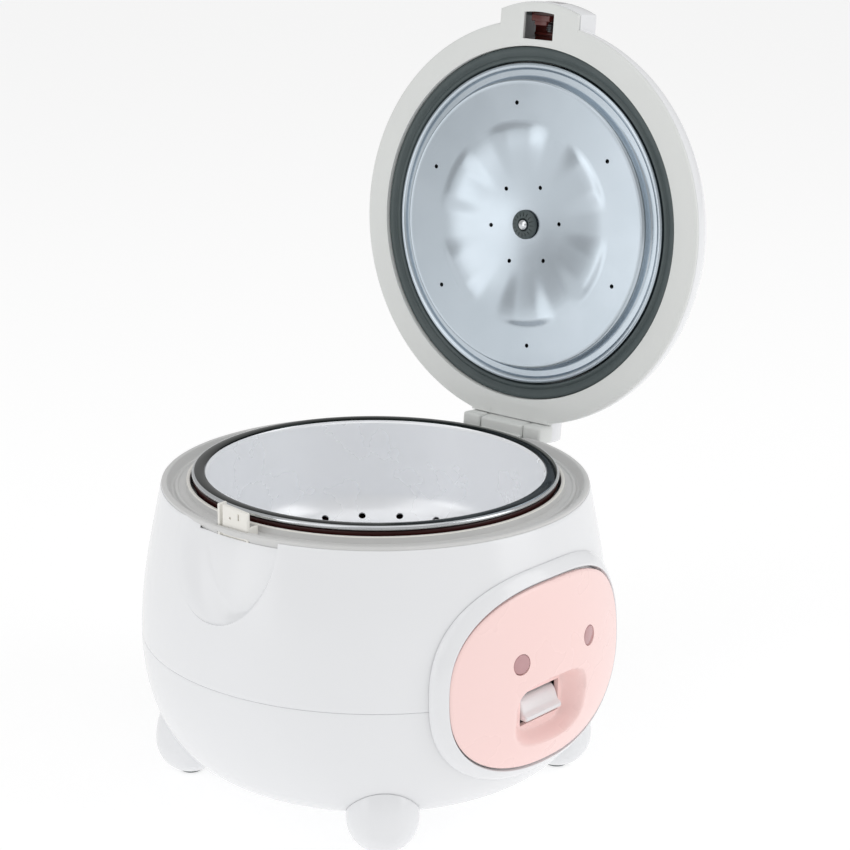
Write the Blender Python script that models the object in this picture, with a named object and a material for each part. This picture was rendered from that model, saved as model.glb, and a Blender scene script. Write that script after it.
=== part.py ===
"""Small round rice cooker with a hinged domed lid, standing on four egg-shaped feet.

Frame: the origin is the centre of the base cover's underside, on the axis of the pot. +Z is up,
the lid hinge is at +X, the lid catch at -X and the face panel near -Y. The lid is modelled closed
and its pivot empty turns it open. Sizes are millimetres, and MM turns them into metres.
"""

import math

import bmesh
import bpy
from mathutils import Matrix, Vector

MM = 0.001
GAP = 0.3  # clearance between pieces that touch
TURNS = 32  # facets of a full turn, shared so that nested pieces keep parallel facets
SMALL_TURNS = 12

# Overall form
BODY_RADIUS = 102.9  # at the seam, the widest place
BASE_RADIUS = 66.0  # where the lower housing meets the base cover
SEAM_HEIGHT = 58.0  # joint of the two housings
SHOULDER_RADIUS = 93.3  # top of the upper housing
SHOULDER_HEIGHT = 124.0
WALL = 2.2  # moulded housing wall
SCOOP_AZIMUTH = 177.0  # finger scoop below the lid catch
SCOOP_HALF_WIDTH = 32.0
SCOOP_DROP = 38.5
SCOOP_BACK = 22.2  # half height of the thickening behind the scoop
FOOT_DROP = 12.0  # from the base cover down to the surface it stands on
FOOT_RADIUS = 15.4
FOOT_CIRCLE = 82.6
PAD_RADIUS = 6.0
PAD_THICKNESS = 1.0
SCREW_HEAD = 2.7  # radius of the base screws' heads
SCREW_SINK = 1.5  # depth of the counterbores that hide them in the cover

# Pot, tray and the deck round them
RIM_RADIUS = 80.0  # outside of the tray's rolled rim
RIM_HEIGHT = 130.0  # top of the tray's rolled rim
BEAD_WIDTH = 5.4
BEAD_HEIGHT = 2.4
TRAY_WALL = 0.9
TRAY_DEPTH = 50.0
TRAY_CORNER = 17.0
DRAIN_RADIUS = 1.7
DRAIN_COUNT = 24
DRAIN_ANGLE = 51.0  # where round the corner the drains are pierced, down from level
POT_WALL = 1.4
POT_DEPTH = 86.4  # from the rim's top to the underside of the pot
POT_CORNER = 16.0
POT_LIP = 2.4  # height of the pot's flange
CAN_WALL = 1.0
CAN_FLOOR = 30.0
COLLAR_WIDTH = 1.6
COLLAR_HEIGHT = 126.0
CHANNEL_FLOOR = 123.0

# Lid, measured with the lid closed
OPEN_ANGLE = 95.0
HINGE_X = 95.0
HINGE_HEIGHT = 126.2
LID_RADIUS = 92.6
LID_UNDERSIDE = 128.5
LID_HEIGHT = 38.5  # from its underside to the top of the dome
LID_WALL = 2.2
PAN_RADIUS = 81.0  # inner edge of the flat frame ring
PAN_WALL = 1.6
PAN_FLOOR = 137.0
GASKET_FACE = 130.4
GASKET_WIDTH = 6.6
PLATE_RADIUS = 73.5
PLATE_SHEET = 0.9
DISH_RADIUS = 66.6
DISH_HEIGHT = 127.0
INNER_HOLE_CIRCLE = 19.2
OUTER_HOLE_CIRCLE = 55.6
STEAM_HOLE_RADIUS = 1.0
PLATE_TURN = 22.0  # how far the plate happens to be turned on its post
POST_RADIUS = 2.6
TAB_REACH = 101.0
TAB_WIDTH = 43.4
TAB_ROUND = 56.0  # radius of the front tab's bowed edge, seen from above
SOCKET_WIDTH = 16.4
SOCKET_NEAR = 84.0
SOCKET_FAR = 96.4
CATCH_WIDTH = 14.4
CATCH_NEAR = 86.6
CATCH_FAR = 91.4
CATCH_TOP = 135.6
CATCH_LOW = 120.6
CAVITY_DEPTH = 12.4  # of the hollow front tab, over the lid's underside
LATCH_PIVOT_X = 95.4
LATCH_PIVOT_RISE = 6.6
VENT_X = 34.0
VENT_RADIUS = 13.0

# Hinge
KNUCKLE_RADIUS = 4.2
KNUCKLE_WIDTH = 24.0
TAB_BACK_WIDTH = 44.6
PIN_RADIUS = 1.6

# Face panel
FACE_AZIMUTH = -93.0
FACE_HEIGHT = 63.0
PANEL_HALF_WIDTH = 56.0
PANEL_HALF_HEIGHT = 40.0
BEZEL_BAND = 7.4
PANEL_EXPONENT = 2.45  # of the superellipse that outlines the face
PANEL_PROUD = 1.6  # panel's front over the body at the middle of the face
PANEL_BOW = (3.0, 1.0)  # how much further it stands out at its sides and at its ends
EYE_SPREAD = 22.2
EYE_HEIGHT = 72.3
EYE_RADIUS = 4.3
RECESS_HEIGHT = 47.4
RECESS_RIM = (23.2, 15.0)  # half width and half height where the recess meets the panel
RECESS_FLOOR = (16.4, 11.2)
RECESS_LEAN = -3.0  # how far the rim lies to one side of the floor
RECESS_FLOOR_RADIUS = 93.6
WINDOW_HEIGHT = 46.5
WINDOW_HALF_WIDTH = 12.6
WINDOW_HALF_HEIGHT = 7.1
KEY_HALF_HEIGHT = 4.9

# Heater and lever works
PLATE_RADIUS_HOT = 60.0
HOT_THICKNESS = 7.0
SENSOR_RADIUS = 13.5
SENSOR_HEIGHT = 6.2
SENSOR_TRAVEL = 2.0
MAGNET_RADIUS = 7.0
MAGNET_RISE = 5.0
LEVER_PIVOT = 64.0
LEVER_PIN_HEIGHT = 20.0
LEVER_STRIP = 2.0
LEVER_WIDTH = 12.0


# ---------------------------------------------------------------- materials and objects


def material(name, colour, roughness, metallic=0.0):
    """A Principled material, made once for each name."""
    found = bpy.data.materials.get(name)
    if found:
        return found
    made = bpy.data.materials.new(name)
    made.use_nodes = True
    shader = made.node_tree.nodes["Principled BSDF"]
    shader.inputs["Base Color"].default_value = (*colour, 1.0)
    shader.inputs["Roughness"].default_value = roughness
    shader.inputs["Metallic"].default_value = metallic
    return made


WHITE = ("white_gloss_plastic", (0.88, 0.88, 0.88), 0.2)
GREY = ("light_grey_plastic", (0.62, 0.63, 0.62), 0.35)
PINK = ("pink_gloss_plastic", (0.95, 0.66, 0.63), 0.25)
LENS = ("dusty_pink_lens", (0.55, 0.33, 0.34), 0.15)
CREAM = ("off_white_nylon", (0.8, 0.79, 0.75), 0.45)
RUBBER = ("dark_rubber", (0.03, 0.045, 0.05), 0.6)
WINE = ("wine_red_plastic", (0.09, 0.01, 0.01), 0.3)
ALUMINIUM = ("satin_aluminium", (0.62, 0.65, 0.69), 0.35, 1.0)
STEEL = ("steel", (0.6, 0.6, 0.6), 0.25, 1.0)
CHROME = ("polished_steel", (0.75, 0.77, 0.78), 0.1, 1.0)
POT_COAT = ("wine_red_coating", (0.06, 0.004, 0.004), 0.35)
DARK = ("black_plastic", (0.02, 0.02, 0.02), 0.5)
BOARD = ("green_board", (0.03, 0.16, 0.06), 0.5)


def link(name, bm, look=None):
    """Turns a bmesh in millimetres into an object in metres, smooth but for its sharp edges."""
    bmesh.ops.scale(bm, vec=(MM, MM, MM), verts=bm.verts)
    bmesh.ops.recalc_face_normals(bm, faces=bm.faces)
    mesh = bpy.data.meshes.new(name)
    bm.to_mesh(mesh)
    bm.free()
    mesh.shade_smooth()
    mesh.set_sharp_from_angle(angle=math.radians(35))
    made = bpy.data.objects.new(name, mesh)
    bpy.context.scene.collection.objects.link(made)
    if look:
        mesh.materials.append(material(*look))
    return made


def boolean(target, operation, *others):
    """Adds one EXACT Boolean for each other object, which becomes a hidden helper."""
    for other in others:
        other.hide_render = True
        other.display_type = "WIRE"
        step = target.modifiers.new(other.name, "BOOLEAN")
        step.operation = operation
        step.solver = "EXACT"
        step.object = other
    return target


def cut(target, *cutters):
    return boolean(target, "DIFFERENCE", *cutters)


def join(target, *others):
    return boolean(target, "UNION", *others)


def pivot(name, x, y, z, turn_y=0.0):
    """An empty on a joint's axis, in millimetres."""
    empty = bpy.data.objects.new(name, None)
    bpy.context.scene.collection.objects.link(empty)
    empty.location = (x * MM, y * MM, z * MM)
    empty.rotation_euler = (0.0, math.radians(turn_y), 0.0)
    return empty


def hang(empty, *pieces):
    """Parents pieces that are modelled in world place, so that they turn with the empty."""
    for piece in pieces:
        piece.parent = empty
        piece.matrix_parent_inverse = Matrix.Translation(-empty.location)


# ---------------------------------------------------------------- basic solids


def turned(name, profile, look=None, turns=TURNS, centre=(0.0, 0.0), start=0.0):
    """Spins a closed profile of (radius, height) points about a vertical axis."""
    bm = bmesh.new()
    points = [bm.verts.new((r, 0.0, z)) for r, z in profile]
    edges = [bm.edges.new((a, b)) for a, b in zip(points, points[1:] + points[:1])]
    bmesh.ops.rotate(bm, cent=(0, 0, 0), matrix=Matrix.Rotation(start, 3, "Z"), verts=bm.verts)
    bmesh.ops.spin(
        bm,
        geom=points + edges,
        cent=(0, 0, 0),
        axis=(0, 0, 1),
        angle=2 * math.pi,
        steps=turns,
        use_merge=True,
    )
    bmesh.ops.remove_doubles(bm, verts=bm.verts, dist=0.001)
    on_axis = [e for e in bm.edges if all(v.co.xy.length < 0.001 for v in e.verts)]
    bmesh.ops.delete(bm, geom=on_axis, context="EDGES")
    bmesh.ops.translate(bm, vec=(centre[0], centre[1], 0.0), verts=bm.verts)
    return link(name, bm, look)


def block(name, low, high, look=None, bevel=0.0, azimuth=0.0):
    """A box between two corners. Its bevel rounds all edges, and azimuth turns it about Z."""
    bm = bmesh.new()
    bmesh.ops.create_cube(bm, size=1.0)
    size = [h - l for l, h in zip(low, high)]
    middle = [(h + l) / 2 for l, h in zip(low, high)]
    bmesh.ops.scale(bm, vec=size, verts=bm.verts)
    bmesh.ops.translate(bm, vec=middle, verts=bm.verts)
    if bevel:
        bmesh.ops.bevel(
            bm, geom=bm.edges, offset=bevel, segments=2, affect="EDGES", profile=0.5, material=-1
        )
    spin = Matrix.Rotation(math.radians(azimuth), 3, "Z")
    bmesh.ops.rotate(bm, cent=(0, 0, 0), matrix=spin, verts=bm.verts)
    return link(name, bm, look)


def rod(name, radius, start, end, look=None, turns=SMALL_TURNS):
    """A round bar between two points."""
    start, end = Vector(start), Vector(end)
    run = end - start
    bm = bmesh.new()
    bmesh.ops.create_cone(
        bm, cap_ends=True, segments=turns, radius1=radius, radius2=radius, depth=run.length
    )
    bmesh.ops.rotate(
        bm, cent=(0, 0, 0), matrix=run.to_track_quat("Z", "Y").to_matrix(), verts=bm.verts
    )
    bmesh.ops.translate(bm, vec=(start + end) / 2, verts=bm.verts)
    return link(name, bm, look)


def around(radius, azimuth, height=0.0):
    """The point at a radius and an azimuth in degrees."""
    angle = math.radians(azimuth)
    return Vector((radius * math.cos(angle), radius * math.sin(angle), height))


def coil(name, radius, wire, low, high, coils, look, turns=10, sides=5):
    """A vertical helical spring with flat ends, as one tube."""
    bm = bmesh.new()
    steps = coils * turns
    rings = []
    for step in range(steps + 1):
        angle = 2 * math.pi * step / turns
        rise = low + wire + (high - low - 2 * wire) * step / steps
        ring = []
        for side in range(sides):
            lean = 2 * math.pi * side / sides
            reach = radius + wire * math.cos(lean)
            ring.append(
                bm.verts.new(
                    (reach * math.cos(angle), reach * math.sin(angle), rise + wire * math.sin(lean))
                )
            )
        rings.append(ring)
    for one, two in zip(rings, rings[1:]):
        for side in range(sides):
            after = (side + 1) % sides
            bm.faces.new((one[side], one[after], two[after], two[side]))
    bm.faces.new(rings[0])
    bm.faces.new(rings[-1])
    return link(name, bm, look)


# ---------------------------------------------------------------- outlines


def bezier(start, first, second, end, steps):
    """Points of a cubic curve, both ends included."""
    points = []
    for step in range(steps + 1):
        t = step / steps
        u = 1 - t
        weights = (u**3, 3 * u * u * t, 3 * u * t * t, t**3)
        points.append(
            tuple(
                sum(w * p[axis] for w, p in zip(weights, (start, first, second, end)))
                for axis in (0, 1)
            )
        )
    return points


def arc(centre, radius, start, end, steps):
    """Points of a round arc in the profile plane, from one angle to another in degrees."""
    points = []
    for step in range(steps + 1):
        angle = math.radians(start + (end - start) * step / steps)
        points.append((centre[0] + radius * math.cos(angle), centre[1] + radius * math.sin(angle)))
    return points


def lower_outline(inset=0.0, steps=6):
    """The lower housing's side, from the base up to the seam."""
    return bezier(
        (BASE_RADIUS - inset, inset),
        (BASE_RADIUS + 26 - inset, 1 + inset),
        (BODY_RADIUS - inset, SEAM_HEIGHT - 28),
        (BODY_RADIUS - inset, SEAM_HEIGHT),
        steps,
    )


def upper_outline(inset=0.0, steps=5):
    """The upper housing's side, from the seam up to its shoulder."""
    middle = (SEAM_HEIGHT + SHOULDER_HEIGHT) / 2
    return bezier(
        (BODY_RADIUS - inset, SEAM_HEIGHT),
        (BODY_RADIUS - inset, middle - 11),
        (SHOULDER_RADIUS + 4.6 - inset, middle + 11),
        (SHOULDER_RADIUS - inset, SHOULDER_HEIGHT),
        steps,
    )


SIDE = lower_outline(steps=24) + upper_outline(steps=24)[1:]


def side_radius(height):
    """The body's outer radius at a height, read off its two side curves."""
    for (r0, z0), (r1, z1) in zip(SIDE, SIDE[1:]):
        if z0 <= height <= z1:
            return r0 + (r1 - r0) * (height - z0) / (z1 - z0)
    return SIDE[-1][0] if height > SIDE[-1][1] else SIDE[0][0]


def face_bow(across, up):
    """How much further the flatter face stands out over the body, away from its middle."""
    wide, high = across / PANEL_HALF_WIDTH, up / PANEL_HALF_HEIGHT
    return PANEL_BOW[0] * wide * wide + PANEL_BOW[1] * high * high


def patch_loop(bm, azimuth, height, size, exponent, share, offset, bow, points=36):
    """A loop of vertices on the body's side: a superellipse, scaled by share and pushed out."""
    loop = []
    half_width, half_height = size
    for index in range(points):
        angle = 2 * math.pi * index / points
        across, up = math.cos(angle), math.sin(angle)
        across = math.copysign(abs(across) ** (2 / exponent), across) * half_width * share
        up = math.copysign(abs(up) ** (2 / exponent), up) * half_height * share
        reach = side_radius(height + up) + offset + bow * face_bow(across, up)
        turn = azimuth + math.degrees(across / BODY_RADIUS)
        loop.append(bm.verts.new(around(reach, turn, height + up)))
    return loop


def patch(name, azimuth, height, size, layers, look=None, ring=False, exponent=PANEL_EXPONENT):
    """A solid that follows the body's side. layers are (share, offset, bow), one loop each."""
    bm = bmesh.new()
    loops = [
        patch_loop(bm, azimuth, height, size, exponent, share, offset, bow)
        for share, offset, bow in layers
    ]
    pairs = list(zip(loops, loops[1:]))
    if ring:
        pairs.append((loops[-1], loops[0]))
    for one, two in pairs:
        for index, start in enumerate(one):
            after = (index + 1) % len(one)
            bm.faces.new((start, one[after], two[after], two[index]))
    if not ring:
        bm.faces.new(loops[0])
        bm.faces.new(loops[-1])
        bmesh.ops.poke(bm, faces=[f for f in bm.faces if len(f.verts) > 4])
    return link(name, bm, look)


# ---------------------------------------------------------------- housings


def face_opening(name):
    """Cutter for the window in the housings behind the face panel."""
    share = 1 - 4.0 / PANEL_HALF_WIDTH
    return patch(
        name,
        FACE_AZIMUTH,
        FACE_HEIGHT,
        (PANEL_HALF_WIDTH * share, PANEL_HALF_HEIGHT * share),
        [(0.5, 9, 0), (1, 9, 0), (1, -9, 0), (0.5, -9, 0)],
    )


def make_lower_housing():
    shelf = BASE_RADIUS - 7
    outline = lower_outline()
    outline[-1] = (BODY_RADIUS, SEAM_HEIGHT - GAP / 2)
    inner = [(r, z) for r, z in reversed(lower_outline(WALL)) if z > 6]
    inner[0] = (BODY_RADIUS - WALL, SEAM_HEIGHT - GAP / 2)
    step = [(shelf, 5.4), (shelf, 2.6), (BASE_RADIUS - 0.8, 2.6), (BASE_RADIUS - 0.8, 0.0)]
    housing = turned("lower_housing", outline + inner + step, WHITE)
    cut(housing, face_opening("lower_face_cut"))
    cut(housing, block("inlet_cut", (-14.4, 70, 21.6), (14.4, 120, 42.4)))
    for index in range(4):
        spot = around(BASE_RADIUS - 3.8, 45 + 90 * index)
        cut(housing, rod(f"boss_cut_{index}", 1.7, spot + Vector((0, 0, -2)), spot + Vector((0, 0, 4.6))))
    return housing


def make_upper_housing():
    outline = upper_outline()
    outline[0] = (BODY_RADIUS, SEAM_HEIGHT + GAP / 2)
    inner = list(reversed(upper_outline(WALL)))
    inner[-1] = (BODY_RADIUS - WALL, SEAM_HEIGHT + GAP / 2)
    housing = turned("upper_housing", outline + inner, WHITE)
    backing = patch(
        "scoop_backing", SCOOP_AZIMUTH, CATCH_LOW - GAP - SCOOP_BACK, (SCOOP_HALF_WIDTH + 5, SCOOP_BACK),
        [(0.5, -1, 0), (1, -1, 0), (1, -6.4, 0), (0.5, -6.4, 0)], exponent=10.0,
    )
    join(housing, backing)
    scoop = patch(
        "scoop_cut", SCOOP_AZIMUTH, SHOULDER_HEIGHT, (SCOOP_HALF_WIDTH, SCOOP_DROP),
        [(0.4, 9, 0), (1, 9, 0), (1, -0.5, 0), (0.93, -2.2, 0), (0.75, -3, 0), (0.4, -3.2, 0)],
        exponent=2.0,
    )
    cut(housing, scoop, face_opening("upper_face_cut"), hinge_notch("upper_notch"))
    return housing


def hinge_notch(name):
    """Cutter for the gap at the back in which the lid's ears turn."""
    half = TAB_BACK_WIDTH / 2 + 0.6
    return block(name, (HINGE_X - 5.5, -half, HINGE_HEIGHT - 5.8), (HINGE_X + 30, half, 140))


def make_deck_ring():
    collar = RIM_RADIUS + 0.6
    outside = SHOULDER_RADIUS - 0.3
    under = SHOULDER_HEIGHT + GAP
    profile = [
        (collar, 118.0),
        (collar + COLLAR_WIDTH, 118.0),
        (collar + COLLAR_WIDTH, CHANNEL_FLOOR - 1.8),
        (outside - WALL - 0.6, CHANNEL_FLOOR - 1.8),
        (outside - WALL - 0.6, under),
        (outside, under),
        (outside, 124.9),
        (outside - 0.5, 125.4),
        (outside - 1.6, 125.6),
        (outside - 4.6, CHANNEL_FLOOR + 1.2),
        (outside - 6.4, CHANNEL_FLOOR),
        (collar + COLLAR_WIDTH, CHANNEL_FLOOR),
        (collar + COLLAR_WIDTH, COLLAR_HEIGHT - 0.5),
        (collar + COLLAR_WIDTH - 0.5, COLLAR_HEIGHT),
        (collar, COLLAR_HEIGHT),
    ]
    deck = turned("deck_ring", profile, GREY)
    cut(deck, hinge_notch("deck_notch"))
    half = CATCH_WIDTH / 2 + 1.5
    seat = block("catch_seat", (-CATCH_FAR - GAP, -half, 120), (-CATCH_NEAR + 2 + GAP, half, 130))
    return cut(deck, seat)


def make_catch_post():
    """Upright catch on the deck: a plate with a rib on each side and a notch for the latch."""
    half = CATCH_WIDTH / 2
    post = block("catch_post", (-CATCH_FAR, -half, CATCH_LOW + 1), (-CATCH_NEAR, half, CATCH_TOP), CREAM, 0.7)
    foot = block("catch_foot", (-CATCH_FAR, -half - 1.2, CATCH_LOW), (-CATCH_NEAR + 2, half + 1.2, 124.2))
    rib = block("catch_rib", (-CATCH_NEAR - 1, half - 1.4, 121), (-CATCH_NEAR + 2, half, 131))
    join(post, foot, rib)
    notch = block("catch_notch", (-CATCH_FAR - 3, -4.2, 129.2), (-CATCH_FAR + 2.2, 4.2, 132.6))
    return cut(post, notch)


def foot_azimuth(index):
    return FACE_AZIMUTH + 45 + 90 * index


def make_feet():
    """Four egg-shaped feet, hollowed at the top to fit the housing, each with a flat rubber pad."""
    low = -FOOT_DROP
    for index in range(4):
        spot = around(FOOT_CIRCLE, foot_azimuth(index))
        flat = low + PAD_THICKNESS * 0.6
        ball = low + FOOT_RADIUS
        dip = math.degrees(math.acos((ball - flat) / FOOT_RADIUS))
        egg = arc((0, ball), FOOT_RADIUS, -90 + dip, 0, 5)
        crown = [
            (FOOT_RADIUS * math.cos(a), ball + 1.6 * FOOT_RADIUS * math.sin(a))
            for a in (math.pi / 2 * step / 4 for step in range(1, 5))
        ]
        profile = egg + crown + [(0.0, low + PAD_THICKNESS + GAP)]
        profile += [(PAD_RADIUS - 0.8, low + PAD_THICKNESS + GAP), (PAD_RADIUS - 0.8, flat)]
        foot = turned(f"foot_{index + 1}", profile, WHITE, 20, (spot.x, spot.y))
        hull = [(r + GAP, z) for r, z in lower_outline()]
        hull[0] = (hull[0][0], -GAP)
        cutter = turned(f"foot_cut_{index}", hull + [(0.0, SEAM_HEIGHT), (0.0, -GAP)])
        cut(foot, cutter)
        pad = [
            (0.0, low),
            (PAD_RADIUS - 1.8, low),
            (PAD_RADIUS - 1.2, low + 0.4),
            (PAD_RADIUS - 1.2, low + PAD_THICKNESS),
            (0.0, low + PAD_THICKNESS),
        ]
        turned(f"foot_pad_{index + 1}", pad, RUBBER, 16, (spot.x, spot.y))


def make_base_cover():
    edge = BASE_RADIUS - 0.8 - GAP
    cover = turned("base_cover", [(0, 0), (edge, 0), (edge, 2.3), (0, 2.3)], WHITE)
    for index in range(4):
        azimuth = 45 + 90 * index
        spot = around(BASE_RADIUS - 3.8, azimuth)
        hole = rod(f"cover_hole_{index}", 1.7, spot + Vector((0, 0, -1)), spot + Vector((0, 0, 3)))
        sink = rod(
            f"screw_sink_{index}", SCREW_HEAD + GAP, spot + Vector((0, 0, -1)),
            spot + Vector((0, 0, SCREW_SINK)),
        )
        cut(cover, hole, sink)
        seat = SCREW_SINK - GAP
        screw = [
            (0, seat - 0.9), (SCREW_HEAD - 0.4, seat - 0.9), (SCREW_HEAD, seat - 0.3),
            (SCREW_HEAD, seat), (1.3, seat), (1.3, 4.2), (0, 4.2),
        ]
        turned(f"base_screw_{index + 1}", screw, STEEL, SMALL_TURNS, (spot.x, spot.y))
    for index in range(6):
        slot = block(f"vent_slot_{index}", (26, -1.5, -1), (46, 1.5, 3), azimuth=60 * index)
        cut(cover, slot)
    return cover


# ---------------------------------------------------------------- face


def local(offset_out, across, height):
    """A point in the face's own flat frame: out from the axis, across it and up."""
    turn = Matrix.Rotation(math.radians(FACE_AZIMUTH), 3, "Z")
    return turn @ Vector((offset_out, across, height))


def tapered(name, near, far, near_half, far_half, height, lean):
    """A pyramid-like block along the face's outward axis, whose far end lies lean to one side."""
    bm = bmesh.new()
    loops = []
    for reach, aside, (half_width, half_height) in ((near, 0.0, near_half), (far, lean, far_half)):
        loop = []
        for index in range(20):
            angle = 2 * math.pi * index / 20
            across = math.copysign(abs(math.cos(angle)) ** 0.45, math.cos(angle)) * half_width
            up = math.copysign(abs(math.sin(angle)) ** 0.45, math.sin(angle)) * half_height
            loop.append(bm.verts.new(local(reach, aside + across, height + up)))
        loops.append(loop)
    bm.faces.new(loops[0])
    bm.faces.new(loops[1])
    for index in range(20):
        after = (index + 1) % 20
        bm.faces.new((loops[0][index], loops[0][after], loops[1][after], loops[1][index]))
    return link(name, bm)


def make_face():
    """White bezel, pink panel with its finger recess and lever window, and two lamp lenses."""
    outer_width = PANEL_HALF_WIDTH + BEZEL_BAND
    outer_height = PANEL_HALF_HEIGHT + BEZEL_BAND - 0.6
    inner = PANEL_HALF_WIDTH / outer_width
    layers = [
        (inner, 0.35, 0), (inner, 1.5, 1), (0.93, 1.3, 1), (0.97, 1.2, 0.6), (1.0, 1.1, 0),
        (1.0, 0.35, 0),
    ]
    size = (outer_width, outer_height)
    patch("face_bezel", FACE_AZIMUTH, FACE_HEIGHT, size, layers, WHITE, ring=True)
    edge = 1 - GAP / PANEL_HALF_HEIGHT - 0.002
    back, front = 0.5, PANEL_PROUD
    crown = [(0.88, front, 1), (0.6, front, 1), (0.3, front, 1)]
    layers = [
        (0.3, back, 0), (0.7, back, 0), (edge, back, 0), (edge, front - 1, 1), (0.96, front - 0.3, 1),
    ]
    size = (PANEL_HALF_WIDTH, inner * outer_height)
    panel = patch("face_panel", FACE_AZIMUTH, FACE_HEIGHT, size, layers + crown, PINK)
    floor = RECESS_FLOOR_RADIUS
    rim = BODY_RADIUS + PANEL_PROUD - GAP
    slopes = [(wide - narrow) / (rim - floor) for wide, narrow in zip(RECESS_RIM, RECESS_FLOOR)]
    lean = RECESS_LEAN / (rim - floor)
    shell = WALL * math.hypot(1, slopes[0] - lean)
    pocket = tapered(
        "pocket_body", floor - WALL, rim + 3,
        [half + shell - WALL * slope for half, slope in zip(RECESS_FLOOR, slopes)],
        [half + shell + 3 * slope for half, slope in zip(RECESS_RIM, slopes)], RECESS_HEIGHT,
        lean * (rim + 3 - floor),
    )
    under = [(share, front - 0.4, 1) for share in (0.88, 0.6, 0.3)]
    envelope = patch(
        "pocket_envelope", FACE_AZIMUTH, FACE_HEIGHT, size,
        [(0.3, -16, 0), (0.88, -16, 0)] + under,
    )
    boolean(pocket, "INTERSECT", envelope)
    join(panel, pocket)
    hollow = tapered(
        "pocket_hollow", floor, rim + 5, RECESS_FLOOR,
        [half + 5 * slope for half, slope in zip(RECESS_RIM, slopes)], RECESS_HEIGHT,
        lean * (rim + 5 - floor),
    )
    window = block(
        "lever_window", (floor - 8, -WINDOW_HALF_WIDTH, WINDOW_HEIGHT - WINDOW_HALF_HEIGHT),
        (floor + 3, WINDOW_HALF_WIDTH, WINDOW_HEIGHT + WINDOW_HALF_HEIGHT), azimuth=FACE_AZIMUTH,
    )
    cut(panel, hollow, window)
    for index, (name, side) in enumerate((("warm", -1), ("cook", 1))):
        turn = FACE_AZIMUTH + side * math.degrees(EYE_SPREAD / BODY_RADIUS)
        deep = around(side_radius(EYE_HEIGHT) - 6, turn, EYE_HEIGHT)
        high = around(side_radius(EYE_HEIGHT) + 12, turn, EYE_HEIGHT)
        cut(panel, rod(f"eye_cut_{index}", EYE_RADIUS + GAP, deep, high, turns=24))
        start = around(side_radius(EYE_HEIGHT) - 3, turn, EYE_HEIGHT)
        proud = PANEL_PROUD + face_bow(EYE_SPREAD, EYE_HEIGHT - FACE_HEIGHT) - 0.2
        end = around(side_radius(EYE_HEIGHT) + proud, turn, EYE_HEIGHT)
        rod(f"{name}_lens", EYE_RADIUS, start, end, LENS, 24)
        near = around(side_radius(EYE_HEIGHT) - 9.0, turn, EYE_HEIGHT)
        tip = around(side_radius(EYE_HEIGHT) - 3.4, turn, EYE_HEIGHT)
        rod(f"{name}_lamp", 2.0, near, tip, LENS, 12)
    reach = side_radius(EYE_HEIGHT) * math.cos(EYE_SPREAD / BODY_RADIUS) - 9.4
    block(
        "lamp_board", (reach - 3.2, -EYE_SPREAD - 8, EYE_HEIGHT - 6),
        (reach - 1.6, EYE_SPREAD + 8, EYE_HEIGHT + 6), BOARD, azimuth=FACE_AZIMUTH,
    )


# ---------------------------------------------------------------- lever works


def make_lever():
    """Cook lever: a key in the window, on a bent steel arm that lifts the magnet at the middle."""
    height = WINDOW_HEIGHT
    wide = WINDOW_HALF_WIDTH - 0.6
    reach = RECESS_FLOOR_RADIUS
    block(
        "lever_key", (reach - 6, -wide, height - KEY_HALF_HEIGHT),
        (reach + 3, wide, height + KEY_HALF_HEIGHT), WHITE, 1.2, FACE_AZIMUTH,
    )
    half = LEVER_WIDTH / 2
    upright = reach - 6 - GAP
    low = LEVER_PIN_HEIGHT - 5
    arm = block(
        "lever_arm", (upright - LEVER_STRIP, 0.6 - half, low + 4.4), (upright, half - 0.6, height + 4),
        STEEL, azimuth=FACE_AZIMUTH,
    )
    strip = block(
        "arm_strip", (-MAGNET_RADIUS, -half, low), (LEVER_PIVOT + 3, half, low + LEVER_STRIP),
        azimuth=FACE_AZIMUTH,
    )
    reach_strip = block(
        "arm_reach", (LEVER_PIVOT + 1, 0.3 - half, low + 4),
        (upright - 0.5, half - 0.3, low + 4 + LEVER_STRIP), azimuth=FACE_AZIMUTH,
    )
    boss = block(
        "arm_boss", (LEVER_PIVOT - 4, 0.6 - half, low + 1),
        (LEVER_PIVOT + 4, half - 0.6, LEVER_PIN_HEIGHT + 4), azimuth=FACE_AZIMUTH,
    )
    join(arm, boss, strip, reach_strip)
    pin_half = half + 5
    ends = [local(LEVER_PIVOT, side * pin_half, LEVER_PIN_HEIGHT) for side in (-1, 1)]
    wide_ends = [local(LEVER_PIVOT, side * (pin_half + 9), LEVER_PIN_HEIGHT) for side in (-1, 1)]
    cut(arm, rod("arm_bore", PIN_RADIUS + 0.4, *wide_ends))
    axle = pivot("lever_pivot", *local(LEVER_PIVOT, 0, LEVER_PIN_HEIGHT))
    hang(axle, arm, bpy.data.objects["lever_key"])
    rod("lever_pin", PIN_RADIUS, *ends, STEEL)
    stand = block(
        "lever_stand", (LEVER_PIVOT - 18, -half - 5, 2.6), (LEVER_PIVOT - 8, half + 5, 5.4), STEEL,
        azimuth=FACE_AZIMUTH,
    )
    for side in (-1, 1):
        inner, outer = sorted((side * (half + 0.8), side * (half + 4)))
        upright = block(
            f"stand_upright_{side + 1}", (LEVER_PIVOT - 16, inner + 0.2, 3.2),
            (LEVER_PIVOT - 9, outer - 0.2, 16), azimuth=FACE_AZIMUTH,
        )
        cheek = block(
            f"stand_cheek_{side + 1}", (LEVER_PIVOT - 17, inner, 13), (LEVER_PIVOT + 4, outer, 24),
            azimuth=FACE_AZIMUTH,
        )
        join(stand, upright, cheek)
    return cut(stand, rod("stand_bore", PIN_RADIUS + GAP, *wide_ends))


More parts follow.
